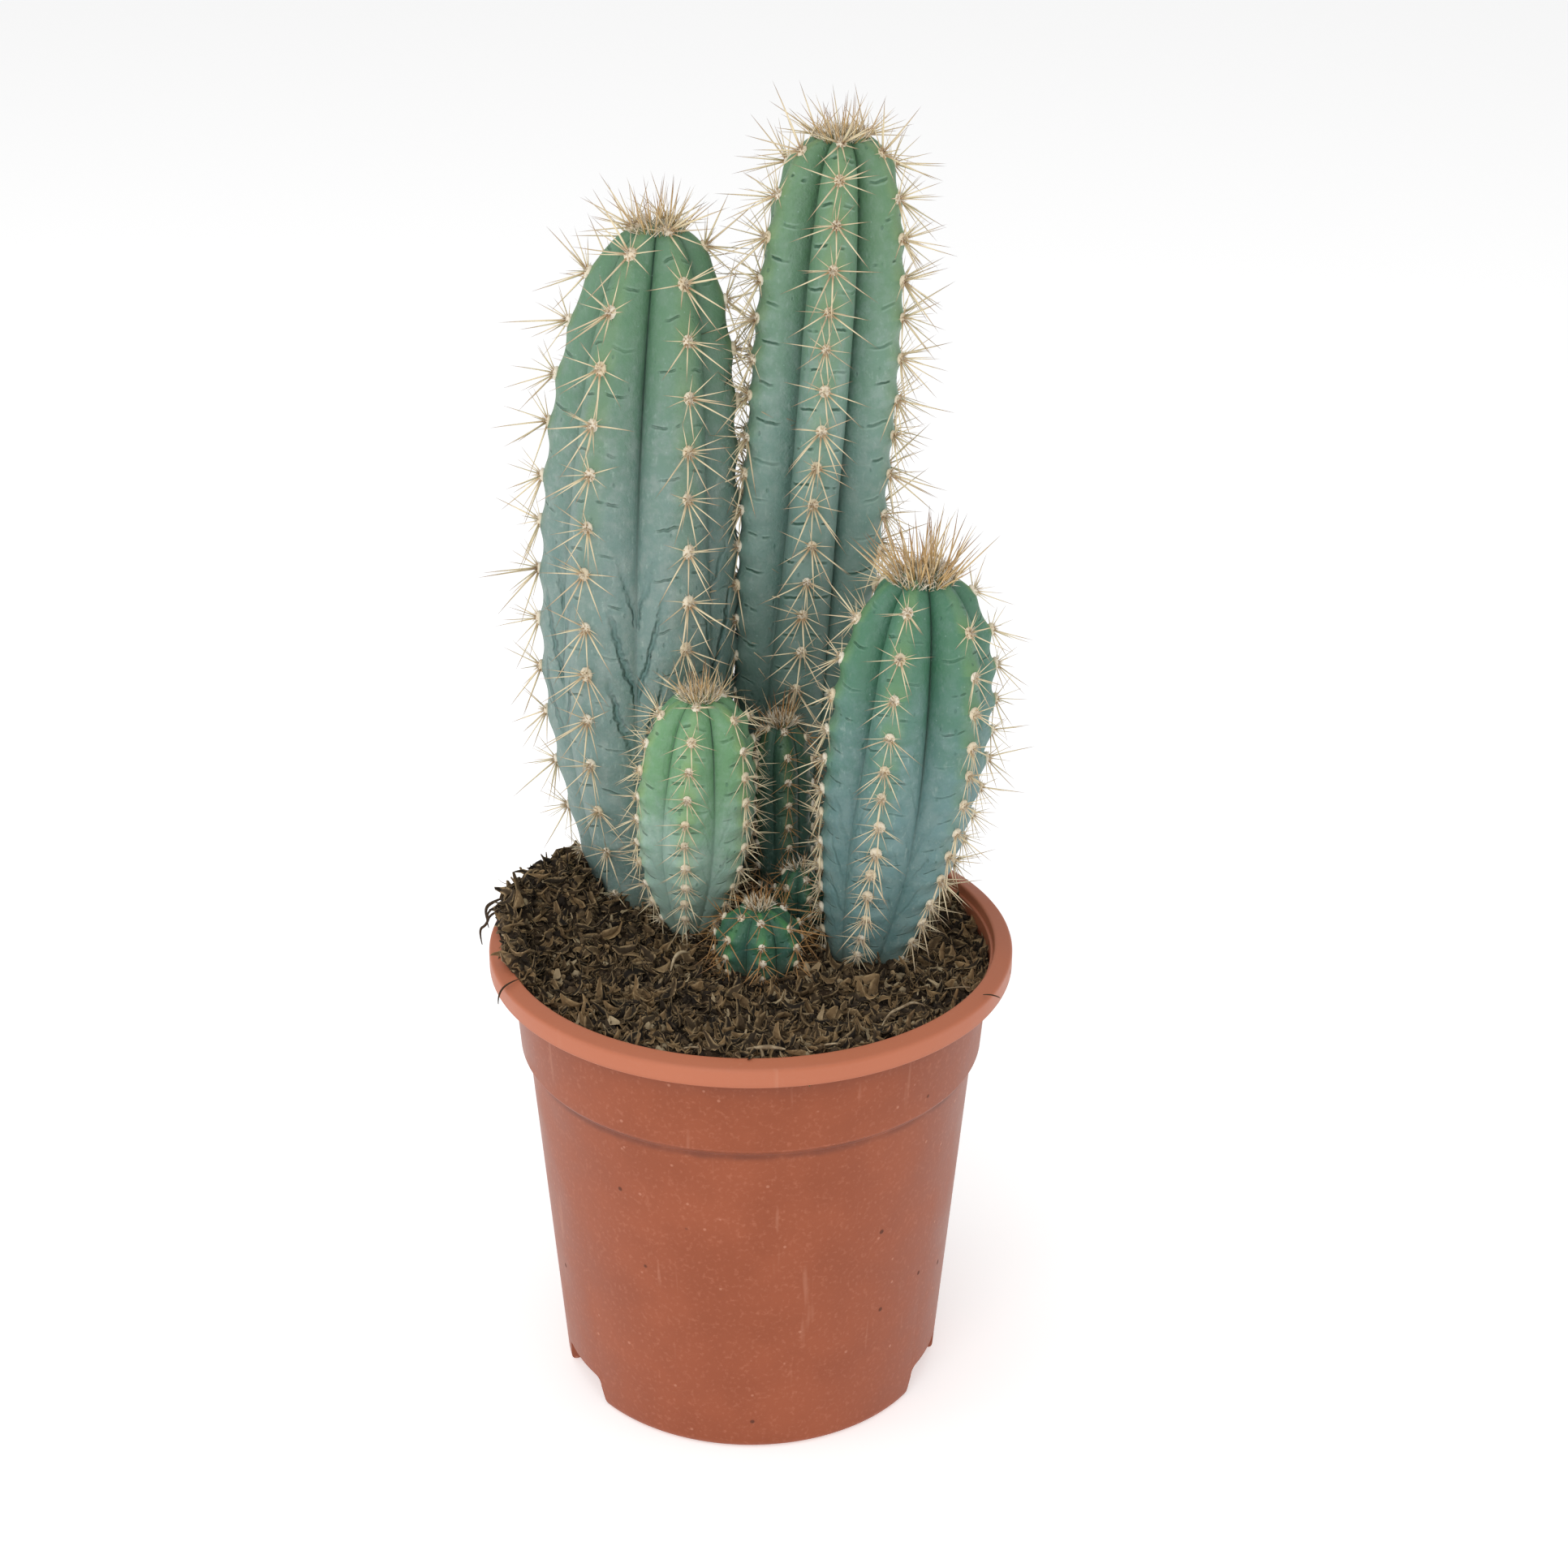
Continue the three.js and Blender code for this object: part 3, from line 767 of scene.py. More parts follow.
def waxy_skin(stem):
    """Green above and blue-grey with wax below, with painted shade darkening the valleys, and paler along the
    crests.
    """
    green, blue, crest, wax = [colour(code) for code in stem["skin"]]
    material, tree, shader = new_material(stem["name"] + " skin")
    place = object_place(tree)
    marks = Term(tree, placed(tree, "ShaderNodeAttribute", {}, attribute_name="marks").outputs["Vector"])
    rib, count = marks.parts()[:2]
    height = place.parts()[2]
    whole = (rib + 0.5).math("FLOOR")
    aside = (rib - whole) * 2
    off_crest = aside.math("ABSOLUTE")
    phase = count - whole.math("MODULO", 2.0).math("ABSOLUTE") * 0.5
    step = phase.math("FRACT")
    cloud = grain(tree, place, 110, 4)
    fine = grain(tree, place, 1400, 2)
    wander = grain(tree, place, 260, 2) - 0.5
    low, high = [value * mm for value in stem["greens"]]
    greenness = (height + (cloud - 0.5) * (30 * mm)).ramp(low, high)
    base = mixed(tree, greenness, blue, green)
    bloom = grain(tree, place, 240, 5, 0.7).ramp(0.4, 0.68) * greenness.ramp(1.0, 0.2, 0.25, 1.0)
    base = mixed(tree, bloom * 0.7, base, wax)
    scuff = grain(tree, place, 900, 3, 0.6, (1, 1, 0.45)).ramp(0.56, 0.74)
    scuff = scuff * greenness.ramp(1.0, 0.3, 0.3, 1.0)
    base = mixed(tree, scuff * 0.35, base, colour("afc0b8"))
    patch = step.ramp(0.5, 0.95) * off_crest.ramp(0.42, 0.1) * height.ramp(low - 15 * mm, high)
    base = mixed(tree, patch * 0.5, base, crest)
    side_tint = off_crest.ramp(0.4, 0.1) * height.ramp(low - 25 * mm, high)
    base = mixed(tree, side_tint * 0.3, base, crest)
    # Painted shade: the skin darkens low down.
    low_shade = (height + (cloud - 0.5) * (24 * mm)).ramp(250 * mm, 180 * mm)
    base = mixed(tree, low_shade * stem["low_shade"], base, colour("43584f"))
    open_share = height.ramp(stem["fades"][0] * mm, stem["fades"][1] * mm)
    # Painted shade: the flanks darken towards the valleys.
    base = mixed(tree, off_crest.ramp(0.25, 0.95) * stem["shade"], base, colour("2f5248"))
    # Painted shade: a narrow dark line along each valley.
    valley_shade = (off_crest + wander * 0.03).ramp(0.94, 0.995) * (open_share * 0.85 + 0.12)
    dark = colour("1a3f2e")
    base = mixed(tree, valley_shade * 0.9, base, dark)
    rise = off_crest.ramp(0.65, 0.1, 0.0, 0.09)
    gap_name = joined_vector(tree, aside.math("SIGN") * 9, whole * 7, phase.math("FLOOR") * 5)
    own = grain(tree, gap_name, 3.7, 0)
    crease_at = step + rise - 0.62 + wander * 0.14 + (own - 0.5) * 0.3
    crease_gap = crease_at.math("ABSOLUTE") * stem["spacing"]
    broken = grain(tree, place, 300, 1).ramp(0.36, 0.5)
    reach = (own * 9.7).math("FRACT") * 0.3 + 0.42
    crease_span = off_crest.ramp(0.1, 0.2) * (off_crest - reach).ramp(0.14, -0.08) * broken
    crease = crease_gap.ramp(0.42, 0.05) * crease_span * own.ramp(0.3, 0.55, 0.35, 1.0)
    # Painted shade in each crease.
    base = mixed(tree, crease * stem["creased"], base, colour("2b5543"))
    # Painted highlight along the lower lip of each crease.
    lip = (crease_gap - 0.6).math("ABSOLUTE").ramp(0.35, 0.05) * crease_span
    base = mixed(tree, lip * 0.3 * stem["creased"], base, colour("a8c2b4"))
    pits = specks(tree, place, 520, 0.2, 0.2, (1, 1, 0.5))
    base = mixed(tree, pits * 0.35, base, colour("3a6258"))
    pale = specks(tree, place, 640, 0.16, 0.14)
    base = mixed(tree, pale * 0.3, base, colour("a9c4bb"))
    foot_stain = (height + (cloud - 0.5) * (10 * mm)).ramp(124 * mm, 114 * mm)
    base = mixed(tree, foot_stain * 0.4, base, colour("6f6a52"))
    feather_wave = (off_crest * 2.1 - count * 0.62 + wander * 0.6).math("FRACT")
    feather = (feather_wave - 0.5).math("ABSOLUTE").ramp(0.2, 0.02)
    feather_span = off_crest.ramp(0.35, 0.6) * off_crest.ramp(1.0, 0.93)
    fold_zone = height.ramp((stem["fades"][0] + 45) * mm, (stem["fades"][0] + 5) * mm)
    fold_zone = fold_zone * height.ramp((stem["fades"][0] - 25) * mm, (stem["fades"][0] - 5) * mm)
    feather = feather * feather_span * fold_zone * stem["feathers"]
    # Painted shade in the folds beside the valleys.
    base = mixed(tree, feather * 0.62, base, colour("426a66"))
    feed(shader.inputs["Base Color"], base)
    feed(shader.inputs["Roughness"], bloom * 0.12 + fine * 0.1 + 0.42)
    shader.inputs["Specular IOR Level"].default_value = 0.4
    shader.inputs["Subsurface Weight"].default_value = 0.06
    shader.inputs["Subsurface Radius"].default_value = (0.6, 1.0, 0.4)
    shader.inputs["Subsurface Scale"].default_value = 0.002
    texture = bumped(tree, fine + grain(tree, place, 420, 3) * 2, 0.2 * mm, 0.7)
    texture = bumped(tree, crease * -1 - pits * 0.3, 0.5 * mm, 0.9, texture)
    feed(shader.inputs["Normal"], bumped(tree, feather * -1, 1.0 * mm, 1.0, texture))
    return material


skin_tree = stem_skin_tree()
for stem in stems:
    big = stem["radius"] > 12
    piece = finished(stem["name"] + "_flesh", skin_tree, {
        **stem_values(stem), "Columns": stem["ribs"] * (36 if big else 22),
        "Rows": 210 if big else 90, "Lumps": (0.7 if big else 0.4) * mm, "Material": waxy_skin(stem),
    })
    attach(piece, "root")
    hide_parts(stem["name"])


# ---- Areoles ----
# Cream woolly cushions, one every few millimetres down each crest and half a step apart on
# neighbouring ribs. They grow out of the skin and carry the spines. Each is a low pad covered in
# short matted hairs, and the same hairs cap each crown.

# size and crown_radius are in millimetres. hairs is their number on each pad.
wools = {
    "stem_tall_left": {"size": 1.8, "hairs": 40, "crown_hairs": 225, "crown_radius": 6.5},
    "stem_tall_back": {"size": 1.5, "hairs": 36, "crown_hairs": 255, "crown_radius": 6},
    "stem_right": {"size": 1.6, "hairs": 44, "crown_hairs": 495, "crown_radius": 7.8},
    "stem_front_left": {"size": 1.35, "hairs": 34, "crown_hairs": 240, "crown_radius": 4.2},
    "offset_middle": {"size": 1.1, "hairs": 26, "crown_hairs": 180, "crown_radius": 3},
    "offset_small": {"size": 1.05, "hairs": 26, "crown_hairs": 48, "crown_radius": 2.2},
    "offset_front": {"size": 1.15, "hairs": 30, "crown_hairs": 126, "crown_radius": 2.4},
}
# Areoles below this height would be in the soil.
ground = 115 * mm
whole_turn = 6.283
# The golden angle spreads points evenly over a crown.
golden_turn = 2.39996


def chance(tree, low, high, seed):
    """A random number for each element, the same on every run."""
    inputs = {2: low, 3: high, 8: seed}
    return result(placed(tree, "FunctionNodeRandomValue", inputs, data_type="FLOAT"), 1)


def stored(tree, geometry, name, value, kind="FLOAT"):
    node = placed(tree, "GeometryNodeStoreNamedAttribute", {
        "Geometry": geometry, "Name": name, "Value": value,
    }, data_type=kind, domain="POINT")
    return result(node)


def recalled(tree, name, kind="FLOAT"):
    return result(placed(tree, "GeometryNodeInputNamedAttribute", {"Name": name}, data_type=kind))


def areole_points(tree, given):
    """One point for each areole, holding its outward and upward directions and its level."""
    ribs = given["Ribs"]
    points = placed(tree, "GeometryNodePoints", {"Count": ribs * given["Areoles"]})
    index = result(placed(tree, "GeometryNodeInputIndex", {}))
    rib = index.math("MODULO", ribs)
    row = (index / ribs + 0.001).math("FLOOR")
    count = row + rib.math("MODULO", 2.0) * 0.5 + given["First"] + chance(tree, -0.05, 0.05, 3)
    tight = given["Crowding"] * 10
    root = (tight * given["Spacing"] * count * 4 + 1).math("MAXIMUM", 0.0).math("SQRT")
    below = given["Spacing"] * count * 2 / (root + 1)
    height = given["Crown"].parts()[2] - below.math("MAXIMUM", 0.0006)
    side = rib + chance(tree, -0.018, 0.018, 5)
    here = use_stem_point(tree, given, side, height)
    lower = use_stem_point(tree, given, side, height - 0.0012)
    upward = result(here, "Point").vector("SUBTRACT", result(lower, "Point")).vector("NORMALIZE")
    out_x, out_y = result(here, "Outward").parts()[:2]
    sideways = joined_vector(tree, out_y * -1, out_x, number(tree, 0.0))
    facing = sideways.vector("CROSS_PRODUCT", upward).vector("NORMALIZE")
    foot = given["Foot"].parts()[2]
    level = (height - foot) / (given["Crown"].parts()[2] - foot)
    geometry = stored(tree, result(points), "facing", facing, "FLOAT_VECTOR")
    geometry = stored(tree, geometry, "upward", upward, "FLOAT_VECTOR")
    geometry = stored(tree, geometry, "level", level)
    placed_at = placed(tree, "GeometryNodeSetPosition", {
        "Geometry": geometry, "Position": result(here, "Point"),
    })
    spot_height = result(placed(tree, "GeometryNodeInputPosition", {})).parts()[2]
    kept = placed(tree, "GeometryNodeDeleteGeometry", {
        "Geometry": result(placed_at), "Selection": spot_height.math("LESS_THAN", given["Ground"]),
    }, domain="POINT")
    return result(kept)


def turned_to(tree, direction, roll=None):
    """A rotation that points Z along a direction, with Y as near as it can to roll."""
    node = placed(tree, "FunctionNodeAlignRotationToVector", {"Vector": direction}, axis="Z")
    if roll is not None:
        node = placed(tree, "FunctionNodeAlignRotationToVector", {
            "Rotation": result(node), "Vector": roll,
        }, axis="Y", pivot_axis="Z")
    return result(node)


def needle_shape(tree, sides, steps, thinness, bend):
    """A needle one unit long that tapers late and bends a little, with its length stored as tip."""
    cone = placed(tree, "GeometryNodeMeshCone", {
        "Vertices": sides, "Side Segments": steps, "Radius Top": 0.0, "Radius Bottom": thinness,
        "Depth": 1.0,
    })
    x, y, z = result(placed(tree, "GeometryNodeInputPosition", {})).parts()
    fuller = (z.math("MULTIPLY", -1.0) + 1.02).math("MAXIMUM", 0.02) ** -0.38
    shaped = joined_vector(tree, x * fuller + z * z * bend, y * fuller, z)
    geometry = stored(tree, result(cone), "tip", z)
    node = placed(tree, "GeometryNodeSetPosition", {"Geometry": geometry, "Position": shaped})
    return result(placed(tree, "GeometryNodeSetShadeSmooth", {"Geometry": result(node)}))


def planted(tree, points, shape, direction, length, seed):
    """The shape on every point, scaled to a length, each with its own tint and roll."""
    points = stored(tree, points, "tint", chance(tree, 0.0, 1.0, seed))
    angle = chance(tree, 0.0, whole_turn, seed + 1)
    roll = joined_vector(tree, angle.math("SINE"), angle.math("COSINE"), chance(tree, -1.0, 1.0, seed + 2))
    size = joined_vector(tree, length, length, length)
    node = placed(tree, "GeometryNodeInstanceOnPoints", {
        "Points": points, "Instance": shape, "Rotation": turned_to(tree, direction, roll), "Scale": size,
    })
    return result(node)


def spread_in(facing, upward, angle, lift, droop):
    """A direction at an angle round facing, from upward, lifted off the skin and let droop."""
    sideways = facing.vector("CROSS_PRODUCT", upward)
    flat = upward.times(angle.math("COSINE") - droop).vector("ADD", sideways.times(angle.math("SINE")))
    tall = facing.times(lift.math("SINE"))
    return flat.times(lift.math("COSINE")).vector("ADD", tall).vector("NORMALIZE")


def joined(tree, pieces):
    node = tree.nodes.new("GeometryNodeJoinGeometry")
    for piece in reversed(pieces):
        tree.links.new(piece.socket, node.inputs[0])
    return result(node)


def leave_solid(tree, geometry, material):
    real = placed(tree, "GeometryNodeRealizeInstances", {"Geometry": geometry})
    dressed = placed(tree, "GeometryNodeSetMaterial", {"Geometry": result(real), "Material": material})
    leave(tree, Geometry=result(dressed))


def areole_tree():
    inputs = (*stem_inputs, ("Areoles", "Int"), ("Ground", "Float"), ("Size", "Float"),
              ("Hairs", "Int"), ("Crown Hairs", "Int"), ("Crown Radius", "Float"),
              ("Material", "Material"))
    tree, given = new_tree("Areoles", inputs)
    points = areole_points(tree, given)
    facing = recalled(tree, "facing", "FLOAT_VECTOR")
    upward = recalled(tree, "upward", "FLOAT_VECTOR")
    level = recalled(tree, "level")
    size = given["Size"] * chance(tree, 0.85, 1.12, 11) * level.ramp(0.02, 0.35, 0.62, 1.0)
    ball = placed(tree, "GeometryNodeMeshUVSphere", {"Segments": 9, "Rings": 6, "Radius": 1.0})
    pad = stored(tree, result(ball), "tip", result(placed(tree, "GeometryNodeInputPosition", {})).parts()[2])
    pad = result(placed(tree, "GeometryNodeSetShadeSmooth", {"Geometry": pad}))
    pads = placed(tree, "GeometryNodeInstanceOnPoints", {
        "Points": stored(tree, points, "tint", chance(tree, 0.0, 1.0, 12)), "Instance": pad,
        "Rotation": turned_to(tree, facing, upward),
        "Scale": joined_vector(tree, size * 0.86, size, size * 0.5),
    })
    many = placed(tree, "GeometryNodeDuplicateElements", {
        "Geometry": points, "Amount": given["Hairs"],
    }, domain="POINT")
    angle = chance(tree, 0.0, whole_turn, 21)
    lift = chance(tree, 0.15, 1.5, 22)
    away = spread_in(facing, upward, angle, lift, number(tree, 0.0))
    shift = away.times(given["Size"] * 0.55)
    moved = placed(tree, "GeometryNodeSetPosition", {"Geometry": result(many), "Offset": shift})
    wisp = joined_vector(tree, chance(tree, -0.7, 0.7, 23), chance(tree, -0.7, 0.7, 24),
                         chance(tree, -0.7, 0.7, 25))
    hair = needle_shape(tree, 3, 2, 0.05, 0.25)
    length = chance(tree, 0.55, 1.15, 26) * given["Size"]
    hairs = planted(tree, result(moved), hair, away.vector("ADD", wisp), length, 27)
    crown = placed(tree, "GeometryNodePoints", {"Count": given["Crown Hairs"]})
    index = result(placed(tree, "GeometryNodeInputIndex", {}))
    share = ((index + 0.5) / given["Crown Hairs"]).math("SQRT")
    turn = index * golden_turn
    reach = share * given["Crown Radius"]
    crown_x, crown_y, crown_z = given["Crown"].parts()
    drop = (reach / given["Radius"]) ** given["Dome"] * (crown_z - given["Widest"]) / given["Dome"]
    spot = joined_vector(tree, crown_x + turn.math("COSINE") * reach,
                         crown_y + turn.math("SINE") * reach, crown_z - drop - 0.0004)
    top = placed(tree, "GeometryNodeSetPosition", {"Geometry": result(crown), "Position": spot})
    lean = share * 0.9
    up = joined_vector(tree, turn.math("COSINE") * lean, turn.math("SINE") * lean, number(tree, 1.0))
    tangle = joined_vector(tree, chance(tree, -0.8, 0.8, 31), chance(tree, -0.8, 0.8, 32),
                           chance(tree, -0.3, 0.3, 33))
    fuzz = planted(tree, result(top), hair, up.vector("ADD", tangle),
                   chance(tree, 0.0018, 0.0044, 34), 35)
    leave_solid(tree, joined(tree, [result(pads), hairs, fuzz]), given["Material"])
    return tree


def areole_wool():
    """Cream felt with browner patches and small brown specks."""
    material, tree, shader = new_material("areole wool")
    place = object_place(tree)
    tip = Term(tree, placed(tree, "ShaderNodeAttribute", {}, attribute_name="tip").outputs["Fac"])
    tint = Term(tree, placed(tree, "ShaderNodeAttribute", {}, attribute_name="tint").outputs["Fac"])
    cloud = grain(tree, place, 1300, 3)
    base = mixed(tree, tint, colour("e4d3b4"), colour("f3ead8"))
    base = mixed(tree, cloud.ramp(0.58, 0.78) * 0.25, base, colour("b08d66"))
    stubs = specks(tree, place, 1100, 0.32, 0.3)
    base = mixed(tree, stubs * 0.35, base, colour("8a5f3e"))
    feed(shader.inputs["Base Color"], base)
    shader.inputs["Roughness"].default_value = 0.95
    shader.inputs["Specular IOR Level"].default_value = 0.15
    shader.inputs["Sheen Weight"].default_value = 0.25
    shader.inputs["Sheen Roughness"].default_value = 0.6
    feed(shader.inputs["Normal"], bumped(tree, cloud + tip * 0.2, 0.3 * mm, 0.9))
    return material


areole_maker = areole_tree()
wool = areole_wool()
for stem in stems:
    soft = wools[stem["name"]]
    felt = finished(stem["name"] + "_areoles", areole_maker, {
        **stem_values(stem), "Areoles": stem["rows"], "Ground": ground, "Size": soft["size"] * mm,
        "Hairs": soft["hairs"], "Crown Hairs": soft["crown_hairs"],
        "Crown Radius": soft["crown_radius"] * mm, "Material": wool,
    })
    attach(felt, "root")


# ---- Spines ----
# Straw-coloured needles with brown tips, which grow from the areoles. Radials spread like a star
# from each, stouter centrals stand out, and a brush of young golden ones covers each crown.

# Lengths are in millimetres. droop turns the radials down, and lift out from the skin. tuft is the
# number of young spines on a crown, and spread how far they lean out at its edge.
needles = {
    "stem_tall_left": {
        "radials": 10, "radial": 13, "centrals": 2, "central": 14, "droop": 0.22, "lift": 0.45,
        "tuft": 75, "tuft_radius": 6.5, "tuft_length": 11, "spread": 0.9, "colour": "straw",
    },
    "stem_tall_back": {
        "radials": 11, "radial": 11.8, "centrals": 2, "central": 13.5, "droop": 0.15, "lift": 0.48,
        "tuft": 85, "tuft_radius": 6, "tuft_length": 9.5, "spread": 0.9, "colour": "straw",
    },
    "stem_right": {
        "radials": 10, "radial": 9.2, "centrals": 2, "central": 10.5, "droop": 0.45, "lift": 0.48,
        "tuft": 165, "tuft_radius": 7.8, "tuft_length": 14, "spread": 0.8, "colour": "straw",
    },
    "stem_front_left": {
        "radials": 9, "radial": 7.8, "centrals": 2, "central": 9, "droop": 0.4, "lift": 0.45,
        "tuft": 80, "tuft_radius": 4.2, "tuft_length": 9, "spread": 0.55, "colour": "straw",
    },
    "offset_middle": {
        "radials": 8, "radial": 6.4, "centrals": 1, "central": 8, "droop": 0.1, "lift": 0.6,
        "tuft": 60, "tuft_radius": 3, "tuft_length": 8.5, "spread": 0.8, "colour": "brown",
    },
    "offset_small": {
        "radials": 8, "radial": 6.4, "centrals": 1, "central": 8, "droop": 0.1, "lift": 0.6,
        "tuft": 16, "tuft_radius": 2.2, "tuft_length": 6, "spread": 0.9, "colour": "brown",
    },
    "offset_front": {
        "radials": 7, "radial": 9, "centrals": 1, "central": 10, "droop": 0.35, "lift": 0.45,
        "tuft": 42, "tuft_radius": 2.4, "tuft_length": 7.5, "spread": 0.7, "colour": "brown",
    },
}


def spine_tree():
    inputs = (*stem_inputs, ("Areoles", "Int"), ("Ground", "Float"), ("Radials", "Int"),
              ("Radial", "Float"), ("Centrals", "Int"), ("Central", "Float"), ("Droop", "Float"),
              ("Lift", "Float"), ("Tuft", "Int"), ("Tuft Radius", "Float"),
              ("Tuft Length", "Float"), ("Spread", "Float"), ("Reach", "Float"), ("Material", "Material"))
    tree, given = new_tree("Spines", inputs)
    points = areole_points(tree, given)
    facing = recalled(tree, "facing", "FLOAT_VECTOR")
    upward = recalled(tree, "upward", "FLOAT_VECTOR")
    level = recalled(tree, "level")
    needle = needle_shape(tree, 5, 3, 0.0178, 0.03)
    star = placed(tree, "GeometryNodeDuplicateElements", {
        "Geometry": points, "Amount": given["Radials"],
    }, domain="POINT")
    step = result(star, "Duplicate Index") + chance(tree, -0.36, 0.36, 41)
    angle = (step + 0.5) / given["Radials"] * (2 * math.pi)
    lift = given["Lift"] + chance(tree, -0.3, 0.42, 42)
    droop = given["Droop"] * level.ramp(1.0, 0.55) + chance(tree, -0.1, 0.1, 43)
    way = spread_in(facing, upward, angle, lift, droop)
    low_side = angle.math("COSINE").math("MULTIPLY", -0.19) + 0.86
    length = given["Radial"] * low_side * chance(tree, 0.72, 1.28, 44) * level.ramp(0.0, 0.4, 0.7, 1.0)
    depth = result(placed(tree, "GeometryNodeInputPosition", {})).parts()[1]
    room = (depth * -1 + given["Reach"]) / way.parts()[1].math("MAXIMUM", 0.05)
    length = length.math("MINIMUM", room)
    off_pad = way.times(0.0005)
    radial_points = placed(tree, "GeometryNodeSetPosition", {"Geometry": result(star), "Offset": off_pad})
    radials = planted(tree, result(radial_points), needle, way, length, 45)
    stout = placed(tree, "GeometryNodeDuplicateElements", {
        "Geometry": points, "Amount": given["Centrals"],
    }, domain="POINT")
    central_angle = chance(tree, 0.0, whole_turn, 51)
    central_lift = chance(tree, 0.75, 1.4, 52)
    central_way = spread_in(facing, upward, central_angle, central_lift, droop * 0.5)
    central_length = given["Central"] * chance(tree, 0.6, 1.35, 53) * level.ramp(0.0, 0.4, 0.7, 1.0)
    central_room = (depth * -1 + given["Reach"]) / central_way.parts()[1].math("MAXIMUM", 0.05)
    central_length = central_length.math("MINIMUM", central_room)
    centrals = planted(tree, result(stout), needle, central_way, central_length, 54)
    crown = placed(tree, "GeometryNodePoints", {"Count": given["Tuft"]})
    index = result(placed(tree, "GeometryNodeInputIndex", {}))
    share = ((index + 0.5) / given["Tuft"]).math("SQRT")
    turn = index * golden_turn + chance(tree, -0.5, 0.5, 61)
    reach = share * given["Tuft Radius"]
    crown_x, crown_y, crown_z = given["Crown"].parts()
    drop = (reach / given["Radius"]) ** given["Dome"] * (crown_z - given["Widest"]) / given["Dome"]
    spot = joined_vector(tree, crown_x + turn.math("COSINE") * reach,
                         crown_y + turn.math("SINE") * reach, crown_z - drop - 0.0006)
    top = placed(tree, "GeometryNodeSetPosition", {"Geometry": result(crown), "Position": spot})
    lean = share * given["Spread"] + chance(tree, -0.3, 0.5, 62)
    up = joined_vector(tree, turn.math("COSINE") * lean + chance(tree, -0.34, 0.34, 63),
                       turn.math("SINE") * lean + chance(tree, -0.34, 0.34, 64), number(tree, 1.0))
    tall = given["Tuft Length"] * chance(tree, 0.25, 1.2, 65)
    fine_needle = needle_shape(tree, 5, 3, 0.0165, 0.05)
    tuft = planted(tree, stored(tree, result(top), "young", number(tree, 1.0)), fine_needle,
                   up.vector("NORMALIZE"), tall, 66)
    leave_solid(tree, joined(tree, [radials, centrals, tuft]), given["Material"])
    return tree


def horny_spine(name, root, shaft, end, young_root, young_end):
    """A hard smooth needle, palest along the shaft and darkest at the tip. Young ones are golden."""
    material, tree, shader = new_material(name)
    place = object_place(tree)
    tip = Term(tree, placed(tree, "ShaderNodeAttribute", {}, attribute_name="tip").outputs["Fac"])
    tint = Term(tree, placed(tree, "ShaderNodeAttribute", {}, attribute_name="tint").outputs["Fac"])
    base = mixed(tree, tip.ramp(0.0, 0.25), colour(root), colour(shaft))
    base = mixed(tree, tip.ramp(0.45, 0.98) * 0.85, base, colour(end))
    base = mixed(tree, tint.ramp(0.6, 1.0) * 0.35, base, colour("8d6547"))
    young = Term(tree, placed(tree, "ShaderNodeAttribute", {}, attribute_name="young").outputs["Fac"])
    golden = mixed(tree, tip.ramp(0.2, 0.95), colour(young_root), colour(young_end))
    golden = mixed(tree, tint.ramp(0.35, 0.1) * 0.7, golden, colour("ecd5a6"))
    base = mixed(tree, young * 0.85, base, golden)
    streak = grain(tree, place, 1500, 2)
    base = mixed(tree, streak.ramp(0.5, 0.75) * 0.25, base, colour("f0e3c6"))
    feed(shader.inputs["Base Color"], base)
    feed(shader.inputs["Roughness"], streak * 0.2 + 0.34)
    shader.inputs["Specular IOR Level"].default_value = 0.45
    feed(shader.inputs["Normal"], bumped(tree, streak, 0.05 * mm, 0.5))
    return material


# No spine reaches further back than this.
back_limit = 78 * mm
spine_maker = spine_tree()
straw = horny_spine("straw spine", "c09c74", "ead9b4", "84593a", "d9b478", "84542c")
brown = horny_spine("brown spine", "9a7048", "b3854f", "6b4226", "b48344", "6b3f20")
for stem in stems:
    sharp = needles[stem["name"]]
    spines = finished(stem["name"] + "_spines", spine_maker, {
        **stem_values(stem), "Areoles": stem["rows"], "Ground": ground,
        "Radials": sharp["radials"], "Radial": sharp["radial"] * mm,
        "Centrals": sharp["centrals"], "Central": sharp["central"] * mm, "Droop": sharp["droop"],
        "Lift": sharp["lift"], "Tuft": sharp["tuft"], "Tuft Radius": sharp["tuft_radius"] * mm,
        "Tuft Length": sharp["tuft_length"] * mm, "Spread": sharp["spread"], "Reach": back_limit,
        "Material": straw if sharp["colour"] == "straw" else brown,
    })
    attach(spines, "root")


# ---- Peat shreds, crumbs and roots ----
# The top of the potting soil: dark curled shreds of peat and bark with paler edges, small crumbs
# between them, thin fibres and a few pale roots. They lie loose on the soil body and on the spill,
# and some hang over the rim at the left.
def axis_at(stem, level):
    """The stem's axis at a height, in millimetres."""
    foot, bow, crown = [Vector(stem[key]) for key in ("foot", "bow", "crown")]
    climb = level - foot.z
    steady = 2 * (bow.z - foot.z)
    easing = foot.z - 2 * bow.z + crown.z
    way = 2 * climb / (steady + math.sqrt(steady * steady + 4 * easing * climb))
    return foot.lerp(bow, way).lerp(bow.lerp(crown, way), way)


def girth_at(stem, level):
    rise = min((level - stem["foot"][2]) / (stem["widest"] - stem["foot"][2]), 1)
    swell = math.sin(rise * math.pi / 2) ** stem["swell"]
    return stem["foot_radius"] + (stem["radius"] - stem["foot_radius"]) * swell


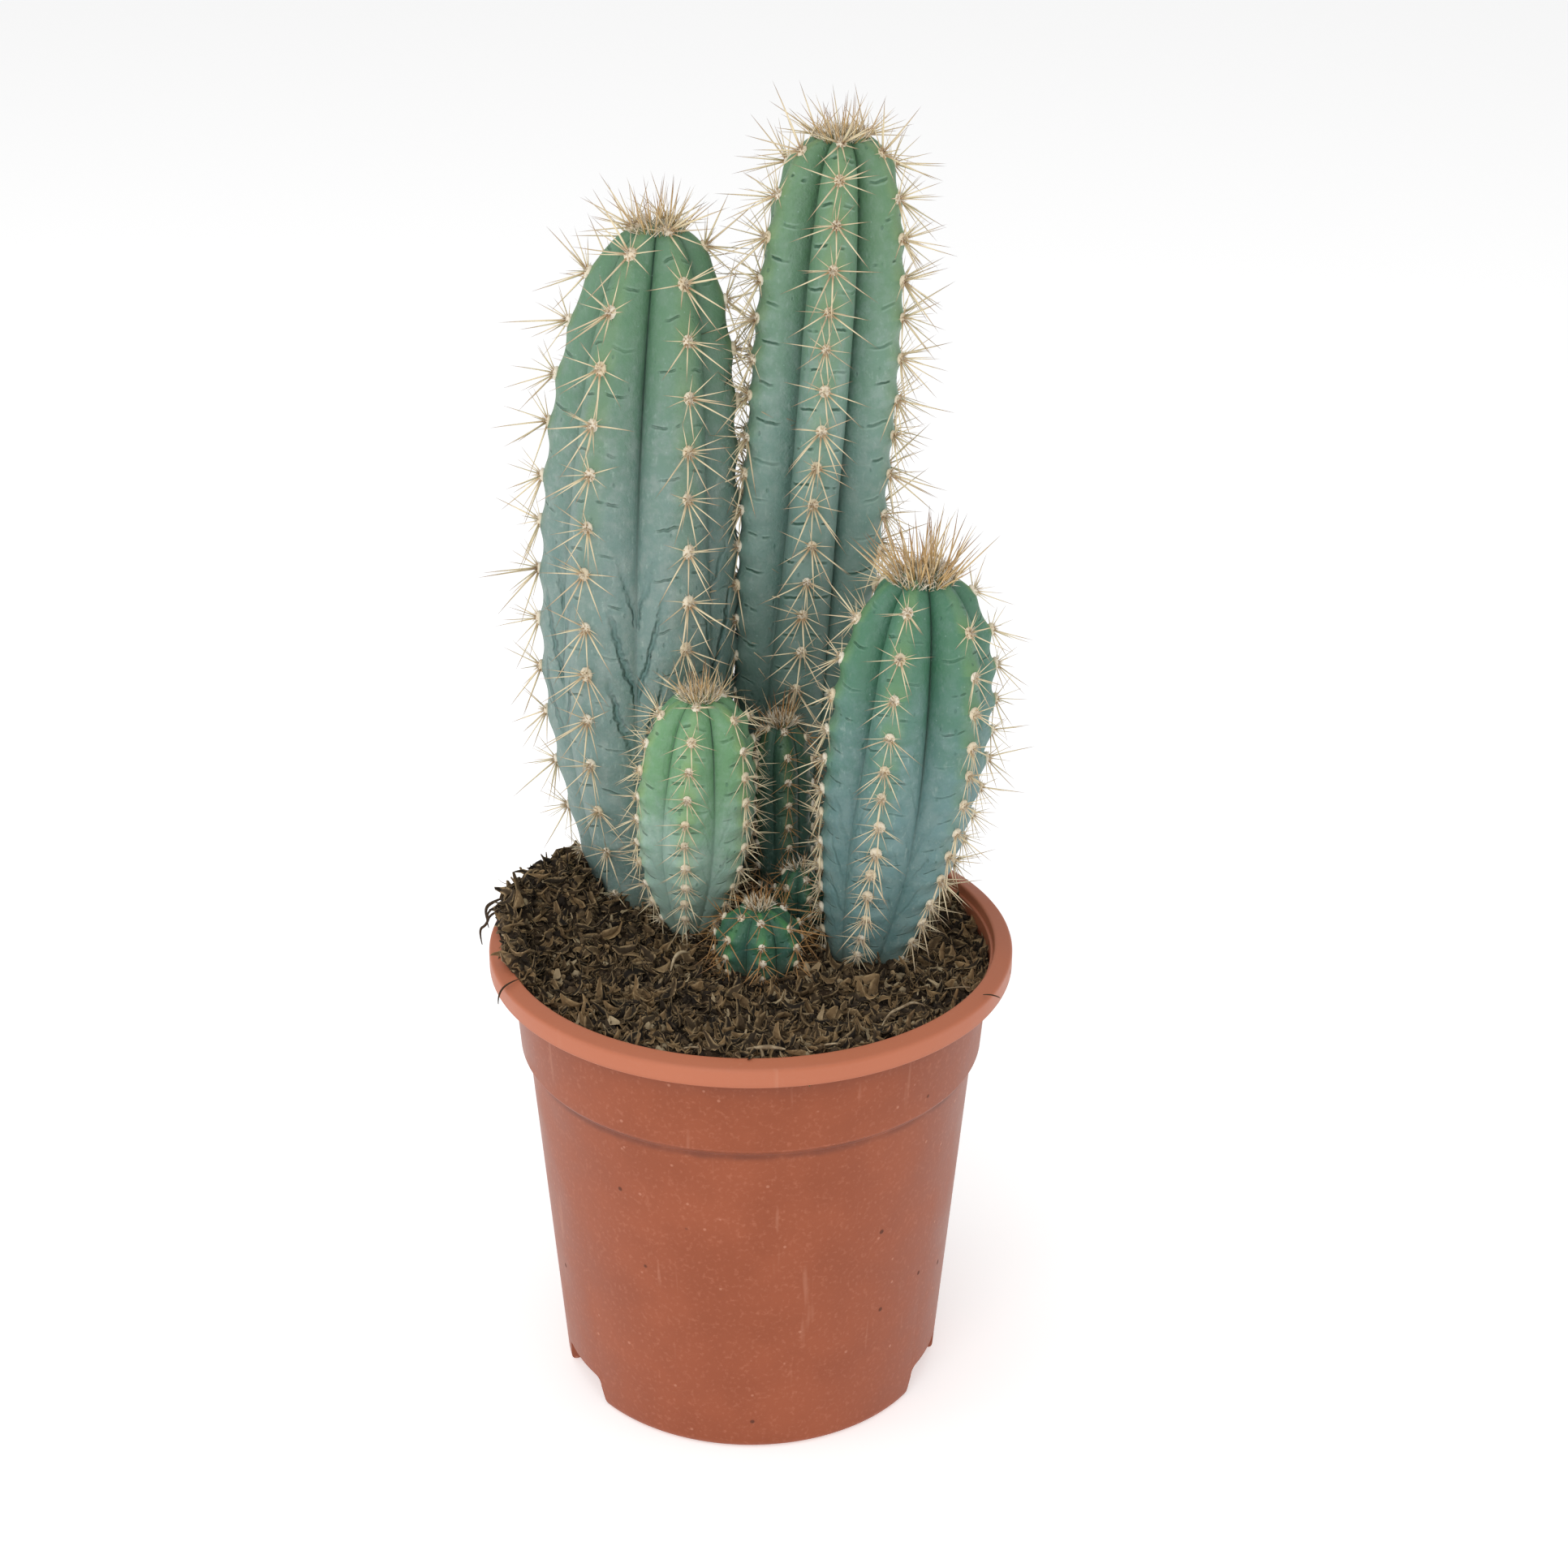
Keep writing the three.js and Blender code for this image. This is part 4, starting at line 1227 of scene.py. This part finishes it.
free = []
for vertex in soil.data.vertices:
    spot = vertex.co / mm
    clear = 1.0
    for stem in stems:
        level = min(max(spot.z, stem["foot"][2] + 1), stem["widest"])
        gap = (spot.xy - axis_at(stem, level).xy).length - girth_at(stem, level) * 0.9
        clear = min(clear, max(gap, 0))
    free.append(clear)
soil.data.attributes.new("free", "FLOAT", "POINT").data.foreach_set("value", free)


def shred_shape(tree, numbers, steps):
    """A curled, twisted strip one unit long with a diamond section, its thin edges stored as edge."""
    width, thickness, curl, twist, sway = numbers
    rod = placed(tree, "GeometryNodeMeshCone", {
        "Vertices": 4, "Side Segments": steps, "Radius Top": 1.0, "Radius Bottom": 1.0, "Depth": 1.0,
    })
    x, y, z = result(placed(tree, "GeometryNodeInputPosition", {})).parts()
    belly = (z * (0.86 * math.pi) + 0.07 * math.pi).math("SINE").math("MAXIMUM", 0.0) ** 0.7
    angle = z * twist
    cosine = angle.math("COSINE")
    sine = angle.math("SINE")
    wide = x * width * belly
    deep = y * thickness * belly
    middle = z - 0.5
    new_x = wide * cosine - deep * sine + (z * 6.0).math("SINE") * sway
    new_y = wide * sine + deep * cosine + middle * middle * curl
    geometry = stored(tree, result(rod), "edge", x.math("ABSOLUTE"))
    node = placed(tree, "GeometryNodeSetPosition", {
        "Geometry": geometry, "Position": joined_vector(tree, new_x, new_y, middle),
    })
    return result(node)


def clod_shape(tree, stretch, seed):
    """A lumpy grain about one unit across."""
    ball = placed(tree, "GeometryNodeMeshIcoSphere", {"Radius": 0.5, "Subdivisions": 1})
    place = result(placed(tree, "GeometryNodeInputPosition", {}))
    lumps = placed(tree, "ShaderNodeTexNoise", {
        "Vector": place.vector("ADD", (seed * 3.1, 0, 0)), "Scale": 2.4, "Detail": 1.0})
    swollen = place.vector("MULTIPLY", stretch).times(result(lumps) * 1.4 + 0.35)
    node = placed(tree, "GeometryNodeSetPosition", {"Geometry": result(ball), "Position": swollen})
    return stored(tree, result(node), "edge", result(lumps).ramp(0.4, 0.7))


def litter_tree(name, shapes):
    """Scatters a choice of small shapes over the upward faces of a surface."""
    inputs = (("Surface", "Object"), ("Density", "Float"), ("Shortest", "Float"),
              ("Longest", "Float"), ("Lift", "Float"), ("Upright", "Float"), ("Seed", "Int"),
              ("Material", "Material"))
    tree, given = new_tree(name, inputs)
    ground_object = placed(tree, "GeometryNodeObjectInfo", {"Object": given["Surface"]})
    normal = result(placed(tree, "GeometryNodeInputNormal", {})).parts()[2]
    height = result(placed(tree, "GeometryNodeInputPosition", {})).parts()[2]
    open_top = normal.math("GREATER_THAN", 0.12) * height.math("GREATER_THAN", 0.109)
    chosen = open_top * recalled(tree, "free").math("GREATER_THAN", 0.3)
    points = placed(tree, "GeometryNodeDistributePointsOnFaces", {
        "Mesh": result(ground_object, "Geometry"), "Selection": chosen, "Density": given["Density"],
        "Seed": given["Seed"],
    })
    length = chance(tree, 0.0, 1.0, 71) ** 1.6 * (given["Longest"] - given["Shortest"]) + given["Shortest"]
    raised = placed(tree, "GeometryNodeSetPosition", {
        "Geometry": result(points),
        "Offset": joined_vector(tree, number(tree, 0.0), number(tree, 0.0),
                                given["Lift"] * chance(tree, -0.3, 1.0, 72)),
    })
    tinted = stored(tree, result(raised), "tint", chance(tree, 0.0, 1.0, 73))
    turn = chance(tree, 0.0, whole_turn, 74)
    slope = chance(tree, -0.5, 1.0, 75) * given["Upright"]
    way = joined_vector(tree, turn.math("COSINE"), turn.math("SINE"), slope)
    roll = joined_vector(tree, chance(tree, -0.8, 0.8, 76), chance(tree, -0.8, 0.8, 77), number(tree, 1.0))
    kinds = []
    for make in shapes:
        single = placed(tree, "GeometryNodeGeometryToInstance", {"Geometry": make(tree)})
        kinds.append(result(single))
    pick = placed(tree, "FunctionNodeRandomValue", {4: 0, 5: len(kinds) - 1, 8: 78}, data_type="INT")
    node = placed(tree, "GeometryNodeInstanceOnPoints", {
        "Points": tinted, "Instance": joined(tree, kinds), "Pick Instance": True,
        "Instance Index": result(pick, 2), "Rotation": turned_to(tree, way, roll),
        "Scale": joined_vector(tree, length, length, length),
    })
    leave_solid(tree, result(node), given["Material"])
    return tree


def peat_litter(name, dark, light, edge_colour):
    """Dry peat: each bit has its own brown, with a paler torn edge and fine fibres along it."""
    material, tree, shader = new_material(name)
    place = object_place(tree)
    tint = Term(tree, placed(tree, "ShaderNodeAttribute", {}, attribute_name="tint").outputs["Fac"])
    edge = Term(tree, placed(tree, "ShaderNodeAttribute", {}, attribute_name="edge").outputs["Fac"])
    fibres = grain(tree, place, 700, 4, 0.65, (1, 1, 0.4))
    base = mixed(tree, tint ** 2.2, colour(dark), colour(light))
    base = mixed(tree, edge.ramp(0.35, 1.0) * fibres.ramp(0.35, 0.6) * 0.7, base, colour(edge_colour))
    base = mixed(tree, fibres.ramp(0.6, 0.75) * 0.35, base, colour("1d150e"))
    base = mixed(tree, tint.ramp(0.93, 0.97) * 0.75, base, colour("b3a283"))
    feed(shader.inputs["Base Color"], base)
    feed(shader.inputs["Roughness"], fibres * 0.15 + 0.78)
    shader.inputs["Specular IOR Level"].default_value = 0.3
    feed(shader.inputs["Normal"], bumped(tree, fibres, 0.4 * mm, 1.0))
    return material


shred_numbers = (
    (0.17, 0.07, 0.9, 1.6, 0.05), (0.12, 0.06, -1.1, -2.2, 0.07), (0.22, 0.07, 1.3, 0.9, -0.05),
    (0.09, 0.05, 0.5, 2.8, 0.1), (0.23, 0.07, -1.2, 1.1, 0.04), (0.15, 0.08, 1.7, -1.4, 0.09),
    (0.19, 0.06, 0.3, -2.4, -0.09),
)
shred_makers = [lambda tree, n=numbers: shred_shape(tree, n, 4) for numbers in shred_numbers]
clod_stretches = ((1.0, 0.8, 0.6), (1.0, 0.55, 0.7), (0.8, 0.9, 0.9), (1.1, 0.7, 0.4))
clod_makers = [lambda tree, s=stretch, k=seed: clod_shape(tree, s, k)
               for seed, stretch in enumerate(clod_stretches)]
fibre_numbers = (
    (0.012, 0.01, 0.9, 0.0, 0.08), (0.01, 0.01, -1.2, 0.0, 0.12), (0.014, 0.012, 0.4, 0.0, -0.15),
)
fibre_makers = [lambda tree, n=numbers: shred_shape(tree, n, 9) for numbers in fibre_numbers]

shred_paint = peat_litter("peat shreds", "1a130b", "907450", "bda178")
crumb_paint = peat_litter("peat crumbs", "1f1710", "715d44", "8d7858")
fibre_paint = peat_litter("peat fibres", "3f3021", "a08c6c", "b7a588")
litters = (
    ("soil_shreds", litter_tree("Peat shreds", shred_makers), 290000, 2.2, 7.4, 1.8, 1.1, 7, shred_paint),
    ("soil_crumbs", litter_tree("Peat crumbs", clod_makers), 420000, 0.5, 3.4, 0.5, 0.6, 8, crumb_paint),
    ("soil_fibres", litter_tree("Peat fibres", fibre_makers), 20000, 4, 9, 1.4, 0.6, 9, fibre_paint),
)
for name, tree, density, shortest, longest, lift, upright, seed, paint_on in litters:
    litter = finished(name, tree, {
        "Surface": soil, "Density": float(density), "Shortest": shortest * mm,
        "Longest": longest * mm, "Lift": lift * mm, "Upright": upright, "Seed": seed,
        "Material": paint_on,
    })
    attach(litter, "root")


def pale_root():
    material, tree, shader = new_material("pale root")
    place = object_place(tree)
    bark = grain(tree, place, 500, 4, 0.6)
    base = mixed(tree, bark.ramp(0.35, 0.7), colour("806b50"), colour("bfac8c"))
    feed(shader.inputs["Base Color"], base)
    feed(shader.inputs["Roughness"], bark * 0.2 + 0.6)
    feed(shader.inputs["Normal"], bumped(tree, bark, 0.2 * mm, 0.8))
    return material


def strand(curve, spots, thickness):
    """Adds one smooth strand through (x, y, z) spots in millimetres, thinner at both ends."""
    line = curve.splines.new("NURBS")
    line.points.add(len(spots) - 1)
    for index, (point, spot) in enumerate(zip(line.points, spots)):
        point.co = (*[value * mm for value in spot], 1)
        point.radius = thickness * (0.35 if index in (0, len(spots) - 1) else 1)
    line.use_endpoint_u = True
    line.order_u = 3
    line.resolution_u = 5


def strands(name, routes, material):
    curve = bpy.data.curves.new(name, "CURVE")
    curve.dimensions = "3D"
    curve.bevel_depth = 1 * mm
    curve.bevel_resolution = 1
    curve.use_fill_caps = True
    for spots, thickness in routes:
        strand(curve, spots, thickness)
    holder = bpy.data.objects.new(name + "_line", curve)
    bpy.context.collection.objects.link(holder)
    graph = bpy.context.evaluated_depsgraph_get()
    mesh = bpy.data.meshes.new_from_object(holder.evaluated_get(graph), depsgraph=graph)
    bpy.data.objects.remove(holder)
    piece = bpy.data.objects.new(name, mesh)
    bpy.context.collection.objects.link(piece)
    piece.data.materials.clear()
    piece.data.materials.append(material)
    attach(piece, "root")
    return piece


root_routes = (
    (((31, -41, 117.5), (32.5, -38.5, 119.6), (36, -37, 120.4), (39, -33.5, 120.2), (42, -32.5, 118)), 0.36),
    (((-1, -56.6, 120.4), (2, -57.4, 121.2), (5, -56.6, 121), (8, -56.8, 120.4)), 0.55),
    (((47, -22, 117), (50, -24, 118.8), (53, -23, 118)), 0.3),
    (((-19.6, -14, 117.6), (-19, -11.4, 119.8), (-17, -9.6, 121), (-15, -8.8, 119.8)), 0.5),
    (((-10, -56.6, 120), (-13, -56, 121), (-15.4, -56, 120.2)), 0.4),
    (((16, -54.6, 120), (19, -55, 121), (20.8, -53.8, 120.2)), 0.36),
)
strands("soil_roots", root_routes, pale_root())

hanging_routes = (
    (((-62, 14, 123.6), (-65.6, 13.4, 122.4), (-67.4, 13.6, 120.2), (-66.8, 12.4, 118)), 0.45),
    (((-61, 9, 123.2), (-65.6, 8.6, 121.8), (-66.4, 7.4, 119), (-68.6, 7.8, 117.6), (-67.6, 6.4, 114)), 0.35),
    (((-62, 11.4, 123.6), (-65.8, 11, 121.8), (-66.8, 10, 119.4), (-66.2, 10.6, 116.6)), 0.3),
    (((-55.6, -24, 121), (-59, -26.6, 121), (-60.8, -28.6, 118.6), (-60.6, -29.6, 117)), 0.25),
    (((55.6, -30.6, 120.2), (57.8, -32, 121.2), (59.4, -33.2, 120.8)), 0.25),
)
strands("soil_hanging_fibres", hanging_routes, fibre_paint)


# ---- Studio ----
# A pale floor, soft lights overhead, in front and on each side, and the camera. None of it
# belongs to the part.
floor_half = 6.0
floor_mesh = bpy.data.meshes.new("floor")
floor_mesh.from_pydata(
    [(-floor_half, -floor_half, 0), (floor_half, -floor_half, 0),
     (floor_half, floor_half, 0), (-floor_half, floor_half, 0)], [], [(0, 1, 2, 3)])
floor = bpy.data.objects.new("floor", floor_mesh)
bpy.context.collection.objects.link(floor)
paint, _, paint_shader = new_material("pale floor")
paint_shader.inputs["Base Color"].default_value = (0.93, 0.93, 0.93, 1)
paint_shader.inputs["Roughness"].default_value = 0.9
paint_shader.inputs["Emission Color"].default_value = (1, 1, 1, 1)
paint_shader.inputs["Emission Strength"].default_value = 0.42
floor.data.materials.append(paint)

world = bpy.data.worlds.new("studio")
world.use_nodes = True
world.node_tree.nodes["Background"].inputs["Color"].default_value = (1, 1, 1, 1)
world.node_tree.nodes["Background"].inputs["Strength"].default_value = 0.5
bpy.context.scene.world = world

aim = Vector((0, 0, 0.15))
soft_lights = (
    ("overhead", (-0.2, -0.3, 1.4), 1.2, 4.5),
    ("front", (-0.5, -1.7, 0.75), 1.3, 10.5),
    ("left", (-1.5, -0.2, 0.6), 1.0, 3.5),
    ("right", (1.5, -0.3, 0.6), 1.0, 3),
)
for name, spot, width, power in soft_lights:
    light = bpy.data.lights.new(name, "AREA")
    light.size = width
    light.energy = power
    lamp = bpy.data.objects.new(name, light)
    lamp.location = spot
    lamp.rotation_euler = (aim - Vector(spot)).to_track_quat("-Z", "Y").to_euler()
    bpy.context.collection.objects.link(lamp)

camera_data = bpy.data.cameras.new("camera")
camera_data.lens = 66.5
camera_data.sensor_width = 36
camera_data.shift_x = 0.0212
camera = bpy.data.objects.new("camera", camera_data)
camera.location = (0, -0.6379, 0.4580)
camera.rotation_euler = (math.pi / 2 - 0.435, 0, 0)
bpy.context.collection.objects.link(camera)
bpy.context.scene.camera = camera
bpy.context.scene.view_settings.view_transform = "Standard"
